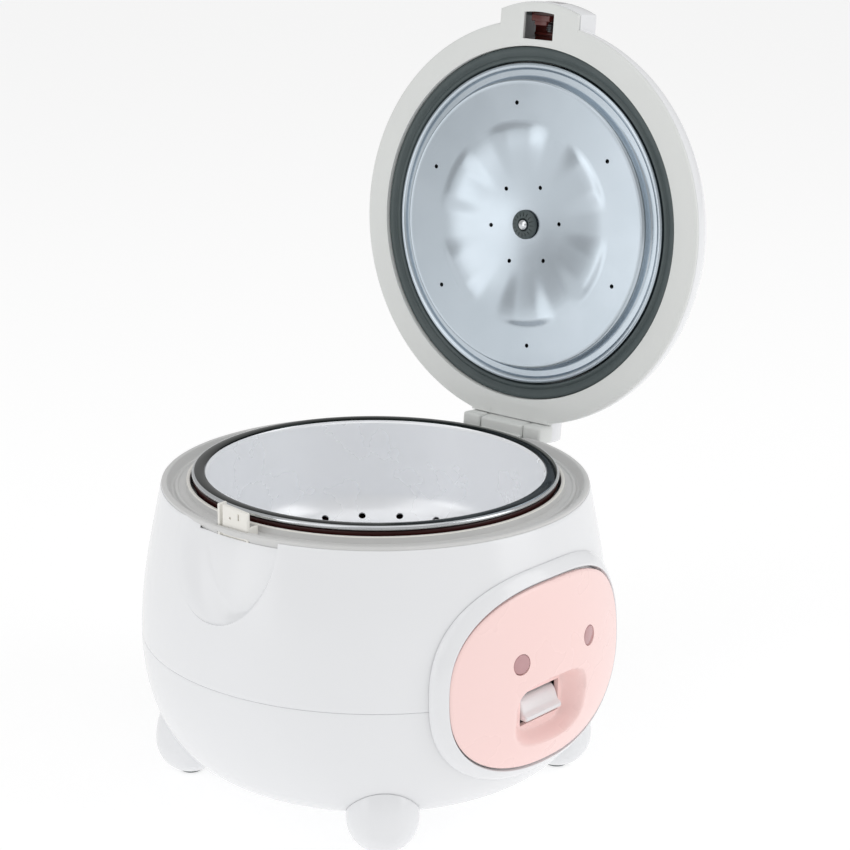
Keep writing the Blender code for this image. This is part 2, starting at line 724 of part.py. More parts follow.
def make_heater():
    """Heating plate with its thermostat: sensor cup, spring and the magnet that the lever lifts."""
    top = RIM_HEIGHT - POT_DEPTH - GAP
    under = top - HOT_THICKNESS
    hole = SENSOR_RADIUS + 0.7
    skirt = 50.0
    profile = [
        (hole, under), (skirt, under), (skirt, CAN_FLOOR + CAN_WALL + GAP),
        (skirt + 4, CAN_FLOOR + CAN_WALL + GAP), (skirt + 4, under),
        (PLATE_RADIUS_HOT, under), (PLATE_RADIUS_HOT, top - 1.2), (PLATE_RADIUS_HOT - 1.2, top),
        (hole, top),
    ]
    turned("heating_plate", profile, ALUMINIUM)
    sensor_low = top - SENSOR_HEIGHT
    cup = [
        (0, sensor_low), (SENSOR_RADIUS - 1, sensor_low), (SENSOR_RADIUS, sensor_low + 1),
        (SENSOR_RADIUS, top - 1), (SENSOR_RADIUS - 1, top), (0, top),
    ]
    turned("sensor_cup", cup, ALUMINIUM, 24)
    wall = SENSOR_RADIUS + 4
    cup_low = sensor_low - 9.6
    hole = MAGNET_RADIUS + 1.5
    spring_cup = [
        (hole, cup_low), (wall + 1.5, cup_low), (wall + 1.5, under - GAP), (wall, under - GAP),
        (wall, cup_low + 1.5), (hole, cup_low + 1.5),
    ]
    turned("spring_cup", spring_cup, STEEL, 24)
    coil("sensor_spring", 11.0, 0.7, cup_low + 1.5 + GAP, sensor_low - GAP, 4, STEEL)
    magnet_low = LEVER_PIN_HEIGHT - 5 + LEVER_STRIP + 0.4
    magnet_top = sensor_low - MAGNET_RISE - SENSOR_TRAVEL - 0.6
    magnet = [
        (0, magnet_low), (MAGNET_RADIUS, magnet_low), (MAGNET_RADIUS, magnet_top), (0, magnet_top),
    ]
    turned("magnet", magnet, DARK, 24)


def make_switch():
    """Micro switch beside the lever, and the power inlet in the back of the lower housing."""
    block(
        "micro_switch", (20, LEVER_WIDTH / 2 + 2, 2.6), (40, LEVER_WIDTH / 2 + 8.4, 13), DARK, 0.4,
        FACE_AZIMUTH,
    )
    inlet = block("power_inlet", (-14, 82, 22), (14, 96.6, 42), DARK, 1.0)
    cut(inlet, block("inlet_hollow", (-11.4, 86, 24.6), (11.4, 105, 39.4)))
    for index, across in enumerate((-6.5, 6.5)):
        pin = block(f"inlet_pin_{index}", (across - 1, 84, 30), (across + 1, 94.6, 34))
        join(inlet, pin)


# ---------------------------------------------------------------- pot and tray


def bowl(outer, top, low, corner, wall, steps=5):
    """Outside then inside of a round-bottomed bowl, from its top edge to the axis and back."""
    outside = [(outer, top)]
    outside += arc((outer - corner, low + corner), corner, 0, -90, steps) + [(0, low)]
    inside = [(0, low + wall)]
    inside += arc((outer - corner, low + corner), corner - wall, -90, 0, steps)
    return outside, inside + [(outer - wall, top)]


def make_pot_and_tray():
    bead_low = RIM_HEIGHT - BEAD_HEIGHT
    throat = RIM_RADIUS - BEAD_WIDTH
    outside, inside = bowl(
        throat - 0.2, bead_low, RIM_HEIGHT - TRAY_DEPTH, TRAY_CORNER, TRAY_WALL
    )
    mid = RIM_HEIGHT - BEAD_HEIGHT / 2
    bead = [
        (throat - 0.2 - TRAY_WALL, RIM_HEIGHT - 0.7), (throat + 0.9, RIM_HEIGHT),
        (RIM_RADIUS - 1.4, RIM_HEIGHT), (RIM_RADIUS - 0.3, mid + 0.6), (RIM_RADIUS, mid),
        (RIM_RADIUS - 0.5, bead_low), (throat + 0.9, bead_low),
    ]
    tray = turned("steam_tray", outside[1:] + inside[:-1] + bead + [(throat - 0.2, bead_low)], CHROME)
    circle = throat - 0.2 - TRAY_CORNER * (1 - math.cos(math.radians(DRAIN_ANGLE)))
    height = RIM_HEIGHT - TRAY_DEPTH + TRAY_CORNER * (1 - math.sin(math.radians(DRAIN_ANGLE)))
    for index in range(DRAIN_COUNT):
        azimuth = 360 / DRAIN_COUNT * index
        reach = around(1, azimuth, -math.tan(math.radians(DRAIN_ANGLE))).normalized() * 4
        middle = around(circle, azimuth, height)
        cut(tray, rod(f"drain_{index}", DRAIN_RADIUS, middle - reach, middle + reach, turns=6))
    pot_top = bead_low - GAP
    pot_outer = throat - 0.2 + 0.5 + POT_WALL
    low = RIM_HEIGHT - POT_DEPTH
    outside, inside = bowl(pot_outer, pot_top - POT_LIP, low, POT_CORNER, POT_WALL)
    lip = [
        (pot_outer - POT_WALL, pot_top), (RIM_RADIUS - 1.2, pot_top),
        (RIM_RADIUS - 0.7, pot_top - 0.5), (RIM_RADIUS - 0.7, pot_top - POT_LIP),
    ]
    turned("inner_pot", outside + inside[:-1] + lip, POT_COAT)


def make_inner_can():
    """Thin steel can round the pot, hung inside the deck ring and holding the heating plate."""
    outer = RIM_RADIUS - 0.8
    lip = COLLAR_HEIGHT - 9.2
    profile = [
        (outer, CAN_FLOOR), (outer, lip), (outer + 3.4, lip), (outer + 3.4, lip + CAN_WALL),
        (outer - CAN_WALL, lip + CAN_WALL), (outer - CAN_WALL, CAN_FLOOR + CAN_WALL),
        (24, CAN_FLOOR + CAN_WALL), (24, CAN_FLOOR),
    ]
    turned("inner_can", profile, STEEL)


# ---------------------------------------------------------------- lid, modelled closed


def bowed(name, reach, half, low, high, near=80.0):
    """An upright slab at the front of the lid whose front edge is bowed, seen from above."""
    bm = bmesh.new()
    steps = 8
    lean = math.asin(half / TAB_ROUND)
    outline = [(-near, half), (-near, -half)]
    for step in range(steps + 1):
        angle = lean * (2 * step / steps - 1)
        outline.append((TAB_ROUND - reach - TAB_ROUND * math.cos(angle), TAB_ROUND * math.sin(angle)))
    base = bm.faces.new([bm.verts.new((x, y, low)) for x, y in outline])
    raised = bmesh.ops.extrude_face_region(bm, geom=[base])
    top = [v for v in raised["geom"] if isinstance(v, bmesh.types.BMVert)]
    bmesh.ops.translate(bm, vec=(0, 0, high - low), verts=top)
    return link(name, bm)


def make_lid_outer():
    """Domed shell with a latch tab at the front and two hinge ears at the back."""
    low = LID_UNDERSIDE
    shell = low + 1.8
    top = low + LID_HEIGHT
    outside = bezier((LID_RADIUS, shell), (LID_RADIUS + 1, low + 17), (72, top - 1), (0, top), 8)
    inside = bezier(
        (0, top - LID_WALL), (71, top - LID_WALL - 1),
        (LID_RADIUS - LID_WALL + 0.6, low + 16.4), (LID_RADIUS - LID_WALL, shell), 6,
    )
    lid = turned("lid_outer", outside + inside, WHITE)
    half = TAB_WIDTH / 2
    tab = bowed("front_tab", TAB_REACH, half, shell, low + 14)
    back = TAB_BACK_WIDTH / 2
    heel = block("hinge_heel", (80, -back, shell), (HINGE_X + 4.5, back, low + 12), bevel=1.5)
    join(lid, tab, heel)
    inner = KNUCKLE_WIDTH / 2 + 0.4
    for side in (-1, 1):
        start, end = sorted((side * inner, side * back))
        ear = rod(
            f"ear_{side + 1}", KNUCKLE_RADIUS, (HINGE_X, start, HINGE_HEIGHT),
            (HINGE_X, end, HINGE_HEIGHT), turns=24,
        )
        web = block(
            f"ear_web_{side + 1}", (HINGE_X - 4, start, HINGE_HEIGHT + 0.5), (HINGE_X + 4, end, shell + 3)
        )
        join(lid, ear, web)
    cavity = bowed("tab_cavity", TAB_REACH - LID_WALL, half - 3, low - 5, low + CAVITY_DEPTH, 72)
    knuckle_room = block(
        "knuckle_room", (HINGE_X - 5.2, -inner, low - 20), (HINGE_X + 12, inner, HINGE_HEIGHT + 6.4)
    )
    deep = back - 1.0
    bore = rod(
        "ear_bore", PIN_RADIUS + 0.4, (HINGE_X, -deep, HINGE_HEIGHT), (HINGE_X, deep, HINGE_HEIGHT)
    )
    button = block("button_hole", (-TAB_REACH - 4, -7.4, low + 4.4), (-TAB_REACH + 6, 7.4, low + 11.4))
    vent = rod("vent_hole", VENT_RADIUS - 4, (VENT_X, 0, low + 20), (VENT_X, 0, top + 20), turns=32)
    well = PAN_RADIUS + PAN_WALL + GAP
    ceiling = PAN_FLOOR + PAN_WALL + GAP
    room = turned("well_room", [(well, low - 9), (well, ceiling), (0, ceiling), (0, low - 9)])
    axle = latch_axle("latch_bore", PIN_RADIUS - 0.1, 19.9)
    return cut(lid, cavity, knuckle_room, bore, button, vent, room, axle)


def make_lid_pan():
    """Flat frame ring under the lid, with the well that holds the gasket and the inner plate."""
    low = LID_UNDERSIDE
    profile = [
        (PAN_RADIUS, low), (LID_RADIUS - 0.6, low), (LID_RADIUS, low + 0.6),
        (LID_RADIUS, low + 1.5), (PAN_RADIUS + PAN_WALL, low + 1.5),
        (PAN_RADIUS + PAN_WALL, PAN_FLOOR + PAN_WALL), (POST_RADIUS + 0.6, PAN_FLOOR + PAN_WALL),
        (POST_RADIUS + 0.6, PAN_FLOOR), (PAN_RADIUS, PAN_FLOOR),
    ]
    pan = turned("lid_pan", profile, GREY)
    lip = bowed("pan_tab", TAB_REACH - 0.4, TAB_WIDTH / 2 - 0.4, low, low + 1.5, PAN_RADIUS + 3)
    half = TAB_BACK_WIDTH / 2 - 0.4
    heel = block("pan_heel", (PAN_RADIUS + 3, -half, low), (HINGE_X - 6, half, low + 1.5))
    join(pan, lip, heel)
    socket = bowed("socket_cut", SOCKET_FAR, SOCKET_WIDTH / 2, low - 3, low + 4, SOCKET_NEAR)
    vent = rod("pan_vent", 5.0, (VENT_X, 0, low), (VENT_X, 0, low + 20), turns=20)
    half = TAB_BACK_WIDTH / 2 + 0.4
    near = HINGE_X - KNUCKLE_RADIUS - 0.4
    room = block("pan_hinge_cut", (near, -half, low - 4), (HINGE_X + 8, half, low + 4))
    return cut(pan, socket, vent, room)


def make_gasket():
    """Rubber ring that closes on the rolled rim: a flat face with a raised lip at its inner edge."""
    outer = PAN_RADIUS - GAP
    inner = outer - GASKET_WIDTH
    face = GASKET_FACE
    profile = [
        (inner, face + 5.4), (inner, face + 0.9), (inner + 0.6, face + 0.2), (inner + 1.5, face),
        (outer - 1.4, face), (outer - 0.5, face - 0.5), (outer, face - 0.4), (outer, face + 5.4),
    ]
    return turned("lid_gasket", profile, RUBBER)


def make_inner_plate():
    """Pressed aluminium plate: rolled rim, deep groove, shallow dish and two rings of steam holes."""
    sheet = PLATE_SHEET
    dish = DISH_HEIGHT
    groove = dish + 4.6
    under = [
        (0, dish + 3.2), (12, dish + 2.6), (24, dish + 0.7), (46, dish), (DISH_RADIUS - 2, dish),
        (DISH_RADIUS, dish + 0.8), (DISH_RADIUS + 0.8, groove), (PLATE_RADIUS - 3, groove),
        (PLATE_RADIUS - 2.4, dish + 3.2), (PLATE_RADIUS - 0.7, dish + 2.9), (PLATE_RADIUS, dish + 3.8),
        (PLATE_RADIUS, groove + 1.6),
    ]
    above = [
        (PLATE_RADIUS - sheet, groove + 1.6), (PLATE_RADIUS - 1.2, groove + sheet),
        (DISH_RADIUS - sheet, groove + sheet), (DISH_RADIUS - 1.4, dish + 1.6),
        (46, dish + sheet), (24, dish + 0.7 + sheet), (12, dish + 2.6 + sheet), (0, dish + 3.2 + sheet),
    ]
    plate = turned("inner_plate", under + above, ALUMINIUM)
    for ring, (circle, turn) in enumerate(((INNER_HOLE_CIRCLE, 0), (OUTER_HOLE_CIRCLE, 30))):
        for index in range(6):
            spot = around(circle, PLATE_TURN + turn + 60 * index, dish)
            hole = rod(
                f"steam_hole_{ring}{index}", STEAM_HOLE_RADIUS, spot - Vector((0, 0, 4)),
                spot + Vector((0, 0, 8)), turns=6,
            )
            cut(plate, hole)
    middle = rod("grommet_seat", 5.0, (0, 0, dish - 2), (0, 0, dish + 9), turns=16)
    return cut(plate, middle)


def make_plate_fixing():
    """Metal post on the pan and the rubber grommet that clips the plate on to it."""
    dish = DISH_HEIGHT
    base = PAN_FLOOR
    neck = POST_RADIUS
    post = [
        (0, dish + 0.2), (neck - 0.6, dish + 0.2), (neck, dish + 0.8), (neck, base - 2.0),
        (neck + 2.2, base - 2.0), (neck + 2.2, base - GAP), (neck, base - GAP),
        (neck, base + PAN_WALL + 0.4), (0, base + PAN_WALL + 0.4),
    ]
    turned("plate_post", post, CHROME, 16)
    bore = neck + GAP
    sheet_low = dish + 3.0
    sheet_high = sheet_low + PLATE_SHEET + 0.5
    grommet = [
        (bore, dish + 1.0), (bore + 0.8, dish + 0.6), (6.4, dish + 1.4), (6.8, sheet_low - 0.4),
        (4.6, sheet_low - 0.4), (4.6, sheet_high + 0.5), (6.2, sheet_high + 0.5),
        (6.2, sheet_high + 2.0), (bore, sheet_high + 2.0),
    ]
    turned("plate_grommet", grommet, RUBBER, 16)


def latch_axle(name, radius, half, look=None):
    """A rod on the axis of the latch rocker."""
    x, z = -LATCH_PIVOT_X, LID_UNDERSIDE + LATCH_PIVOT_RISE
    return rod(name, radius, (x, -half, z), (x, half, z), look)


def make_latch():
    """Latch rocker in the front tab: its button is pressed above the pin, its hook swings out below."""
    low = LID_UNDERSIDE
    body = -LATCH_PIVOT_X
    rise = low + LATCH_PIVOT_RISE
    rocker = block("latch_rocker", (body - 1.6, -7, rise - 2.6), (body + 2.4, 7, low + 11), WINE, 0.3)
    button = block("latch_button", (-TAB_REACH + 1, -6.8, rise - 1), (body + 1, 6.8, low + 10.2))
    hook = block("latch_hook", (-CATCH_FAR - 3.4, -5, low + 1.2), (-CATCH_FAR - 0.8, 5, rise))
    nose = block("latch_nose", (-CATCH_FAR - 2, -3.4, low + 1.4), (-CATCH_FAR + 1.2, 3.4, low + 3.2))
    join(rocker, button, hook, nose)
    cut(rocker, latch_axle("rocker_bore", PIN_RADIUS - 0.1, 12))
    latch_axle("latch_pin", PIN_RADIUS - 0.4, 19.6, STEEL)
    high = low + CAVITY_DEPTH - GAP
    guide = block("latch_guide", (-SOCKET_FAR - 0.8, -9.6, high - 0.7), (-SOCKET_NEAR + 1, 9.6, high), WINE)
    ridge = block("guide_ridge", (-87.0, -9.0, high - 2.6), (-85.4, 9.0, high - 0.3))
    join(guide, ridge)
    spring = coil("latch_spring", 1.5, 0.35, 0, 4.6, 4, STEEL, 8, 4)
    spring.data.transform(Matrix.Rotation(math.radians(90), 4, "Y"))
    spring.data.transform(Matrix.Translation(Vector((body + 3.6, 0, low + 9.3)) * MM))


def make_vent_cap():
    """Steam vent cap, plugged into the top of the dome."""
    low = LID_UNDERSIDE
    seat = low + LID_HEIGHT - 2.0
    top = seat + 5.0
    stem = VENT_RADIUS - 4 - GAP
    profile = [
        (stem - 1.6, seat - 12), (stem, seat - 12), (stem, seat + 1.4), (VENT_RADIUS, seat + 1.4),
        (VENT_RADIUS, top - 1.6), (VENT_RADIUS - 1.6, top), (3.0, top), (3.0, top - 1.6),
        (stem - 1.6, top - 1.6),
    ]
    return turned("steam_vent_cap", profile, WHITE, 20, (VENT_X, 0))


def make_hinge():
    """Fixed knuckle on the body, the pin through it and the lid spring round the pin."""
    inner = KNUCKLE_WIDTH / 2
    bracket = rod(
        "hinge_bracket", KNUCKLE_RADIUS, (HINGE_X, -inner, HINGE_HEIGHT), (HINGE_X, inner, HINGE_HEIGHT),
        GREY, 24,
    )
    base = block(
        "bracket_base", (HINGE_X - 5.2, -inner, HINGE_HEIGHT - 5.5), (HINGE_X + 0.8, inner, HINGE_HEIGHT)
    )
    join(bracket, base)
    bore = rod("bracket_bore", PIN_RADIUS + GAP, (HINGE_X, -30, HINGE_HEIGHT), (HINGE_X, 30, HINGE_HEIGHT))
    room = rod("spring_room", 3.3, (HINGE_X, 1.4, HINGE_HEIGHT), (HINGE_X, 30, HINGE_HEIGHT))
    cut(bracket, bore, room)
    half = TAB_BACK_WIDTH / 2 - 1.0 - GAP
    rod("hinge_pin", PIN_RADIUS, (HINGE_X, -half, HINGE_HEIGHT), (HINGE_X, half, HINGE_HEIGHT), STEEL)
    spring = coil("lid_spring", PIN_RADIUS + 0.8, 0.4, -4.9, 4.9, 6, STEEL, 8, 4)
    spring.data.transform(Matrix.Rotation(math.radians(90), 4, "X"))
    spring.data.transform(Matrix.Translation(Vector((HINGE_X, 6.7, HINGE_HEIGHT)) * MM))


def make_lid():
    """All lid pieces, modelled closed and then hung on the open pivot with their cutters."""
    before = set(bpy.data.objects)
    make_lid_outer()
    make_lid_pan()
    make_gasket()
    make_inner_plate()
    make_plate_fixing()
    make_latch()
    make_vent_cap()
    lid_pieces = set(bpy.data.objects) - before
    hinge = pivot("lid_pivot", HINGE_X, 0, HINGE_HEIGHT, OPEN_ANGLE)
    hang(hinge, *sorted(lid_pieces, key=lambda piece: piece.name))


def main():
    for old in list(bpy.data.objects):
        bpy.data.objects.remove(old, do_unlink=True)
    make_lower_housing()
    make_upper_housing()
    make_deck_ring()
    make_catch_post()
    make_feet()
    make_base_cover()
    make_face()
    make_lever()
    make_heater()
    make_switch()
    make_inner_can()
    make_pot_and_tray()
    make_hinge()
    make_lid()


main()
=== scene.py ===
# Small round rice cooker with its lid open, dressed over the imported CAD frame.
# Sizes below are in millimetres, in the frame of the CAD: z = 0 is the underside of the base cover.
import math

import bmesh
import bpy
from mathutils import Matrix, Vector
from mathutils.geometry import interpolate_bezier


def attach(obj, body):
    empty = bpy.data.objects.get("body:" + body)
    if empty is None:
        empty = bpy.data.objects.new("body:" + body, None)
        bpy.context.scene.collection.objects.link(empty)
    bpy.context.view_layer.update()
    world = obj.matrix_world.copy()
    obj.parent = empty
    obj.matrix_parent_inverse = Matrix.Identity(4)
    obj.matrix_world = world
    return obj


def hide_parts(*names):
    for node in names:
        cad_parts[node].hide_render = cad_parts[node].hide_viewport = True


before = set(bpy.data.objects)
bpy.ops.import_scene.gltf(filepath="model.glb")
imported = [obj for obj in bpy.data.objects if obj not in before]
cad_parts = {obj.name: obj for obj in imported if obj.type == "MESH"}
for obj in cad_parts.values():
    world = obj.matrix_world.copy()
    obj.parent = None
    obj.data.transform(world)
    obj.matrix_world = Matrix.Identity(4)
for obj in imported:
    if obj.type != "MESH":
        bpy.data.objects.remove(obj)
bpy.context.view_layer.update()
mm = 0.001

shape = {
    "bodyRadius": 102.9, "seam": 58.0, "shoulder": 93.3, "shoulderHeight": 124.0,
    "hingeX": 95.0, "hingeZ": 126.2, "openAngle": 95.0, "rim": 80.0, "rimHeight": 130.0, "steps": 192,
}
lidOpen = (
    Matrix.Translation((shape["hingeX"], 0, shape["hingeZ"]))
    @ Matrix.Rotation(math.radians(shape["openAngle"]), 4, "Y")
    @ Matrix.Translation((-shape["hingeX"], 0, -shape["hingeZ"]))
)


# materials

def linear(hexColour):
    parts = [int(hexColour[i:i + 2], 16) / 255 for i in (1, 3, 5)]
    return tuple(c / 12.92 if c <= 0.04045 else ((c + 0.055) / 1.055) ** 2.4 for c in parts) + (1.0,)


def addNode(tree, kind, settings=None, links=None):
    node = tree.nodes.new(kind)
    for name, value in (settings or {}).items():
        if isinstance(name, int) or name in node.inputs:
            node.inputs[name].default_value = value
        else:
            setattr(node, name, value)
    for name, source in (links or {}).items():
        tree.links.new(source, node.inputs[name])
    return node


def makeFinish(name, look):
    # look: colours (a pair), blotch size, roughness (a pair), its patch size, grain size and depth,
    # then shader settings
    made = bpy.data.materials.new(name)
    made.use_nodes = True
    tree = made.node_tree
    shader = tree.nodes["Principled BSDF"]
    place = addNode(tree, "ShaderNodeTexCoord")
    spot = place.outputs["Object"]
    blotch = addNode(
        tree, "ShaderNodeTexNoise", {"Scale": 1000 / look["blotch"], "Detail": 2.0}, {"Vector": spot}
    )
    mix = addNode(
        tree, "ShaderNodeMix",
        {"data_type": "RGBA", 6: linear(look["colours"][0]), 7: linear(look["colours"][1])},
        {0: blotch.outputs["Fac"]},
    )
    tree.links.new(mix.outputs[2], shader.inputs["Base Color"])
    smear = addNode(
        tree, "ShaderNodeTexNoise", {"Scale": 1000 / look["smear"], "Detail": 3.0}, {"Vector": spot}
    )
    low, high = look["roughness"]
    polish = addNode(
        tree, "ShaderNodeMapRange", {"To Min": low, "To Max": high}, {"Value": smear.outputs["Fac"]}
    )
    tree.links.new(polish.outputs["Result"], shader.inputs["Roughness"])
    grain = addNode(
        tree, "ShaderNodeTexNoise", {"Scale": 1000 / look["grain"], "Detail": 2.0}, {"Vector": spot}
    )
    height = grain.outputs["Fac"]
    if "rings" in look:  # concentric marks of spinning or turning, about the pot's axis
        ringNode = addNode(
            tree, "ShaderNodeTexWave",
            {"wave_type": "RINGS", "rings_direction": look["ringAxis"],
             "Scale": 1000 / look["rings"] / 6.2832, "Distortion": 1.5, "Detail": 2.0, "Detail Scale": 4.0},
            {"Vector": spot},
        )
        height = ringNode.outputs["Fac"]
    if "centre" in look:  # a Mapping node centres the rings on the piece
        shift = addNode(
            tree, "ShaderNodeMapping",
            {"Location": look["centre"][0], "Rotation": look["centre"][1], "vector_type": "TEXTURE"},
            {"Vector": spot},
        )
        tree.links.new(shift.outputs["Vector"], ringNode.inputs["Vector"])
    bump = addNode(
        tree, "ShaderNodeBump", {"Strength": look["strength"], "Distance": look["depth"] * mm},
        {"Height": height},
    )
    tree.links.new(bump.outputs["Normal"], shader.inputs["Normal"])
    for socket, value in look.get("shader", {}).items():
        shader.inputs[socket].default_value = value
    return made


# where the rings of the open lid's plate are centred, and their turn
lidCentre = (lidOpen @ Vector((0, 0, shape["rimHeight"])) * mm, (0, math.radians(shape["openAngle"]), 0))
finishes = {
    # ABS, injection moulded in a polished tool: glossy with a faint orange peel
    "glossyWhiteAbs": {
        "colours": ("#E9EAEC", "#EDEEF0"), "blotch": 60, "roughness": (0.16, 0.22), "smear": 25,
        "grain": 4.0, "depth": 0.02, "strength": 0.25, "shader": {"IOR": 1.53},
    },
    # polypropylene, moulded in a lightly blasted tool: even satin grey
    "satinGreyPolypropylene": {
        "colours": ("#DCDEDC", "#E2E4E2"), "blotch": 40, "roughness": (0.36, 0.46), "smear": 18,
        "grain": 0.9, "depth": 0.015, "strength": 0.3, "shader": {"IOR": 1.49},
    },
    # ABS, moulded: the paler deck that the lid closes on
    "paleGreyAbs": {
        "colours": ("#CDCDCC", "#D5D5D4"), "blotch": 40, "roughness": (0.26, 0.36), "smear": 18,
        "grain": 1.2, "depth": 0.012, "strength": 0.3, "shader": {"IOR": 1.53},
    },
    # ABS tinted pale pink, moulded: an even soft gloss
    "palePinkAbs": {
        "colours": ("#FEDBD7", "#FEE0DC"), "blotch": 70, "roughness": (0.24, 0.32), "smear": 25,
        "grain": 4.0, "depth": 0.012, "strength": 0.2, "shader": {"IOR": 1.53},
    },
    # polycarbonate lens, tinted and unlit: smooth and slightly milky
    "dustyPinkPolycarbonate": {
        "colours": ("#BC8F92", "#C79C9E"), "blotch": 6, "roughness": (0.12, 0.2), "smear": 5,
        "grain": 1.5, "depth": 0.01, "strength": 0.2, "shader": {"IOR": 1.58},
    },
    # nylon, natural colour, moulded: the catch post, and the painted highlight on the top of the deck's
    # collar
    "naturalNylon": {
        "colours": ("#E9E7E0", "#F0EEE9"), "blotch": 12, "roughness": (0.3, 0.42), "smear": 8,
        "grain": 0.8, "depth": 0.012, "strength": 0.3, "shader": {"IOR": 1.53},
    },
    # silicone rubber, compression moulded: dark slate, soft broad highlights
    "darkSiliconeRubber": {
        "colours": ("#414C4D", "#4E5859"), "blotch": 14, "roughness": (0.42, 0.55), "smear": 9,
        "grain": 0.7, "depth": 0.02, "strength": 0.35, "shader": {"IOR": 1.43, "Coat Weight": 0.15},
    },
    # ABS, dark wine red, moulded: glossy latch parts in the shade of the socket
    "wineRedAbs": {
        "colours": ("#4A1A16", "#5A211C"), "blotch": 8, "roughness": (0.16, 0.24), "smear": 5,
        "grain": 1.5, "depth": 0.01, "strength": 0.25, "shader": {"IOR": 1.53},
    },
    # aluminium sheet, pressed and satin anodised: cool grey with fine turning marks
    "satinPressedAluminium": {
        "colours": ("#B2BCC4", "#C0C9D1"), "blotch": 30, "roughness": (0.2, 0.27), "smear": 12,
        "grain": 1.0, "rings": 1.2, "ringAxis": "Z", "centre": lidCentre, "depth": 0.004, "strength": 0.25,
        "shader": {"Metallic": 1.0},
    },
    # stainless sheet, drawn and satin brushed inside the tray: pale blue-grey
    "satinStainless": {
        "colours": ("#F6F8FB", "#FAFBFD"), "blotch": 50, "roughness": (0.24, 0.3), "smear": 20,
        "grain": 1.0, "rings": 1.5, "ringAxis": "Z", "depth": 0.003, "strength": 0.08,
        "shader": {"Metallic": 0.3},
    },
    # stainless steel, buffed, on the rolled rim: its base colour is darkened as a painted dark reflection;
    # deep, clean reflections
    "darkChrome": {
        "colours": ("#171D1C", "#1E2523"), "blotch": 20, "roughness": (0.07, 0.13), "smear": 10,
        "grain": 2.0, "depth": 0.003, "strength": 0.15, "shader": {"Metallic": 1.0},
    },
    # stainless steel, polished: the small fixings, and the painted highlight band on the tray's bead
    "polishedStainless": {
        "colours": ("#C9CCCF", "#D3D6D8"), "blotch": 6, "roughness": (0.12, 0.2), "smear": 4,
        "grain": 0.8, "depth": 0.004, "strength": 0.2, "shader": {"Metallic": 1.0},
    },
    # zinc-plated steel, pressed: inner sheet metal and springs
    "zincPlatedSteel": {
        "colours": ("#A9AEB2", "#B9BDBF"), "blotch": 10, "roughness": (0.28, 0.42), "smear": 6,
        "grain": 0.8, "depth": 0.01, "strength": 0.25, "shader": {"Metallic": 1.0},
    },
    # aluminium, cast and faced: the heating plate and the sensor
    "castAluminium": {
        "colours": ("#A7AAAC", "#B6B8BA"), "blotch": 8, "roughness": (0.4, 0.55), "smear": 5,
        "grain": 0.6, "depth": 0.03, "strength": 0.35, "shader": {"Metallic": 1.0},
    },
    # fluoropolymer non-stick coat, sprayed and baked, dark wine red
    "wineNonStickCoat": {
        "colours": ("#2A0806", "#3A0D0A"), "blotch": 12, "roughness": (0.3, 0.42), "smear": 8,
        "grain": 0.5, "depth": 0.01, "strength": 0.3, "shader": {"IOR": 1.38},
    },
    # phenolic and ABS, black, moulded: inlet, switch and magnet carrier
    "blackPhenolic": {
        "colours": ("#141414", "#1D1D1E"), "blotch": 8, "roughness": (0.4, 0.55), "smear": 6,
        "grain": 0.6, "depth": 0.015, "strength": 0.3, "shader": {"IOR": 1.6},
    },
    # glass-epoxy board under green solder resist
    "greenEpoxyBoard": {
        "colours": ("#1E5A32", "#236539"), "blotch": 4, "roughness": (0.28, 0.4), "smear": 4,
        "grain": 0.5, "depth": 0.008, "strength": 0.3, "shader": {"IOR": 1.55},
    },
}
paint = {name: makeFinish(name, look) for name, look in finishes.items()}
print("materials made:", len(paint))


# shared modelling steps

def bezierSide(start, first, second, end, steps):
    points = interpolate_bezier(*[Vector((r, 0, z)) for r, z in (start, first, second, end)], steps)
    return [(p.x, p.z) for p in points]


def spun(profile, steps=shape["steps"], bevel=0.0, sharp=28, segments=2):
    # a closed outline of (radius, height) points, turned round the z axis, its corners then rounded
    bm = bmesh.new()
    points = [bm.verts.new((r, 0, z)) for r, z in profile]
    edges = [bm.edges.new(pair) for pair in zip(points, points[1:] + points[:1])]
    bmesh.ops.spin(
        bm, geom=points + edges, cent=(0, 0, 0), axis=(0, 0, 1), angle=2 * math.pi, steps=steps,
        use_merge=True,
    )
    bmesh.ops.remove_doubles(bm, verts=bm.verts, dist=0.0005)
    bmesh.ops.delete(bm, geom=[e for e in bm.edges if not e.link_faces], context="EDGES")
    bmesh.ops.recalc_face_normals(bm, faces=bm.faces)
    if bevel:
        roundEdges(bm, bevel, sharp, segments)
    return bm


def roundEdges(bm, offset, sharp=28, segments=2):
    corners = [e for e in bm.edges if e.is_manifold and e.calc_face_angle(0) > math.radians(sharp)]
    bmesh.ops.bevel(
        bm, geom=corners, offset=offset, segments=segments, profile=0.5, affect="EDGES", material=-1,
        clamp_overlap=True,
    )
    return bm


def slab(low, high, bevel=0.0, turn=0.0, segments=3):
    bm = bmesh.new()
    bmesh.ops.create_cube(bm, size=1)
    bmesh.ops.scale(bm, vec=[h - l for l, h in zip(low, high)], verts=bm.verts)
    bmesh.ops.translate(bm, vec=[(h + l) / 2 for l, h in zip(low, high)], verts=bm.verts)
    if bevel:
        roundEdges(bm, bevel, 28, segments)
    bmesh.ops.rotate(bm, cent=(0, 0, 0), matrix=Matrix.Rotation(math.radians(turn), 3, "Z"), verts=bm.verts)
    return bm


def bar(radius, start, end, sides=32, bevel=0.0):
    start, end = Vector(start), Vector(end)
    bm = bmesh.new()
    bmesh.ops.create_cone(
        bm, cap_ends=True, segments=sides, radius1=radius, radius2=radius, depth=(end - start).length
    )
    if bevel:
        roundEdges(bm, bevel, 40, 3)
    turn = (end - start).to_track_quat("Z", "Y").to_matrix()
    bmesh.ops.rotate(bm, cent=(0, 0, 0), matrix=turn, verts=bm.verts)
    bmesh.ops.translate(bm, vec=(start + end) / 2, verts=bm.verts)
    return bm


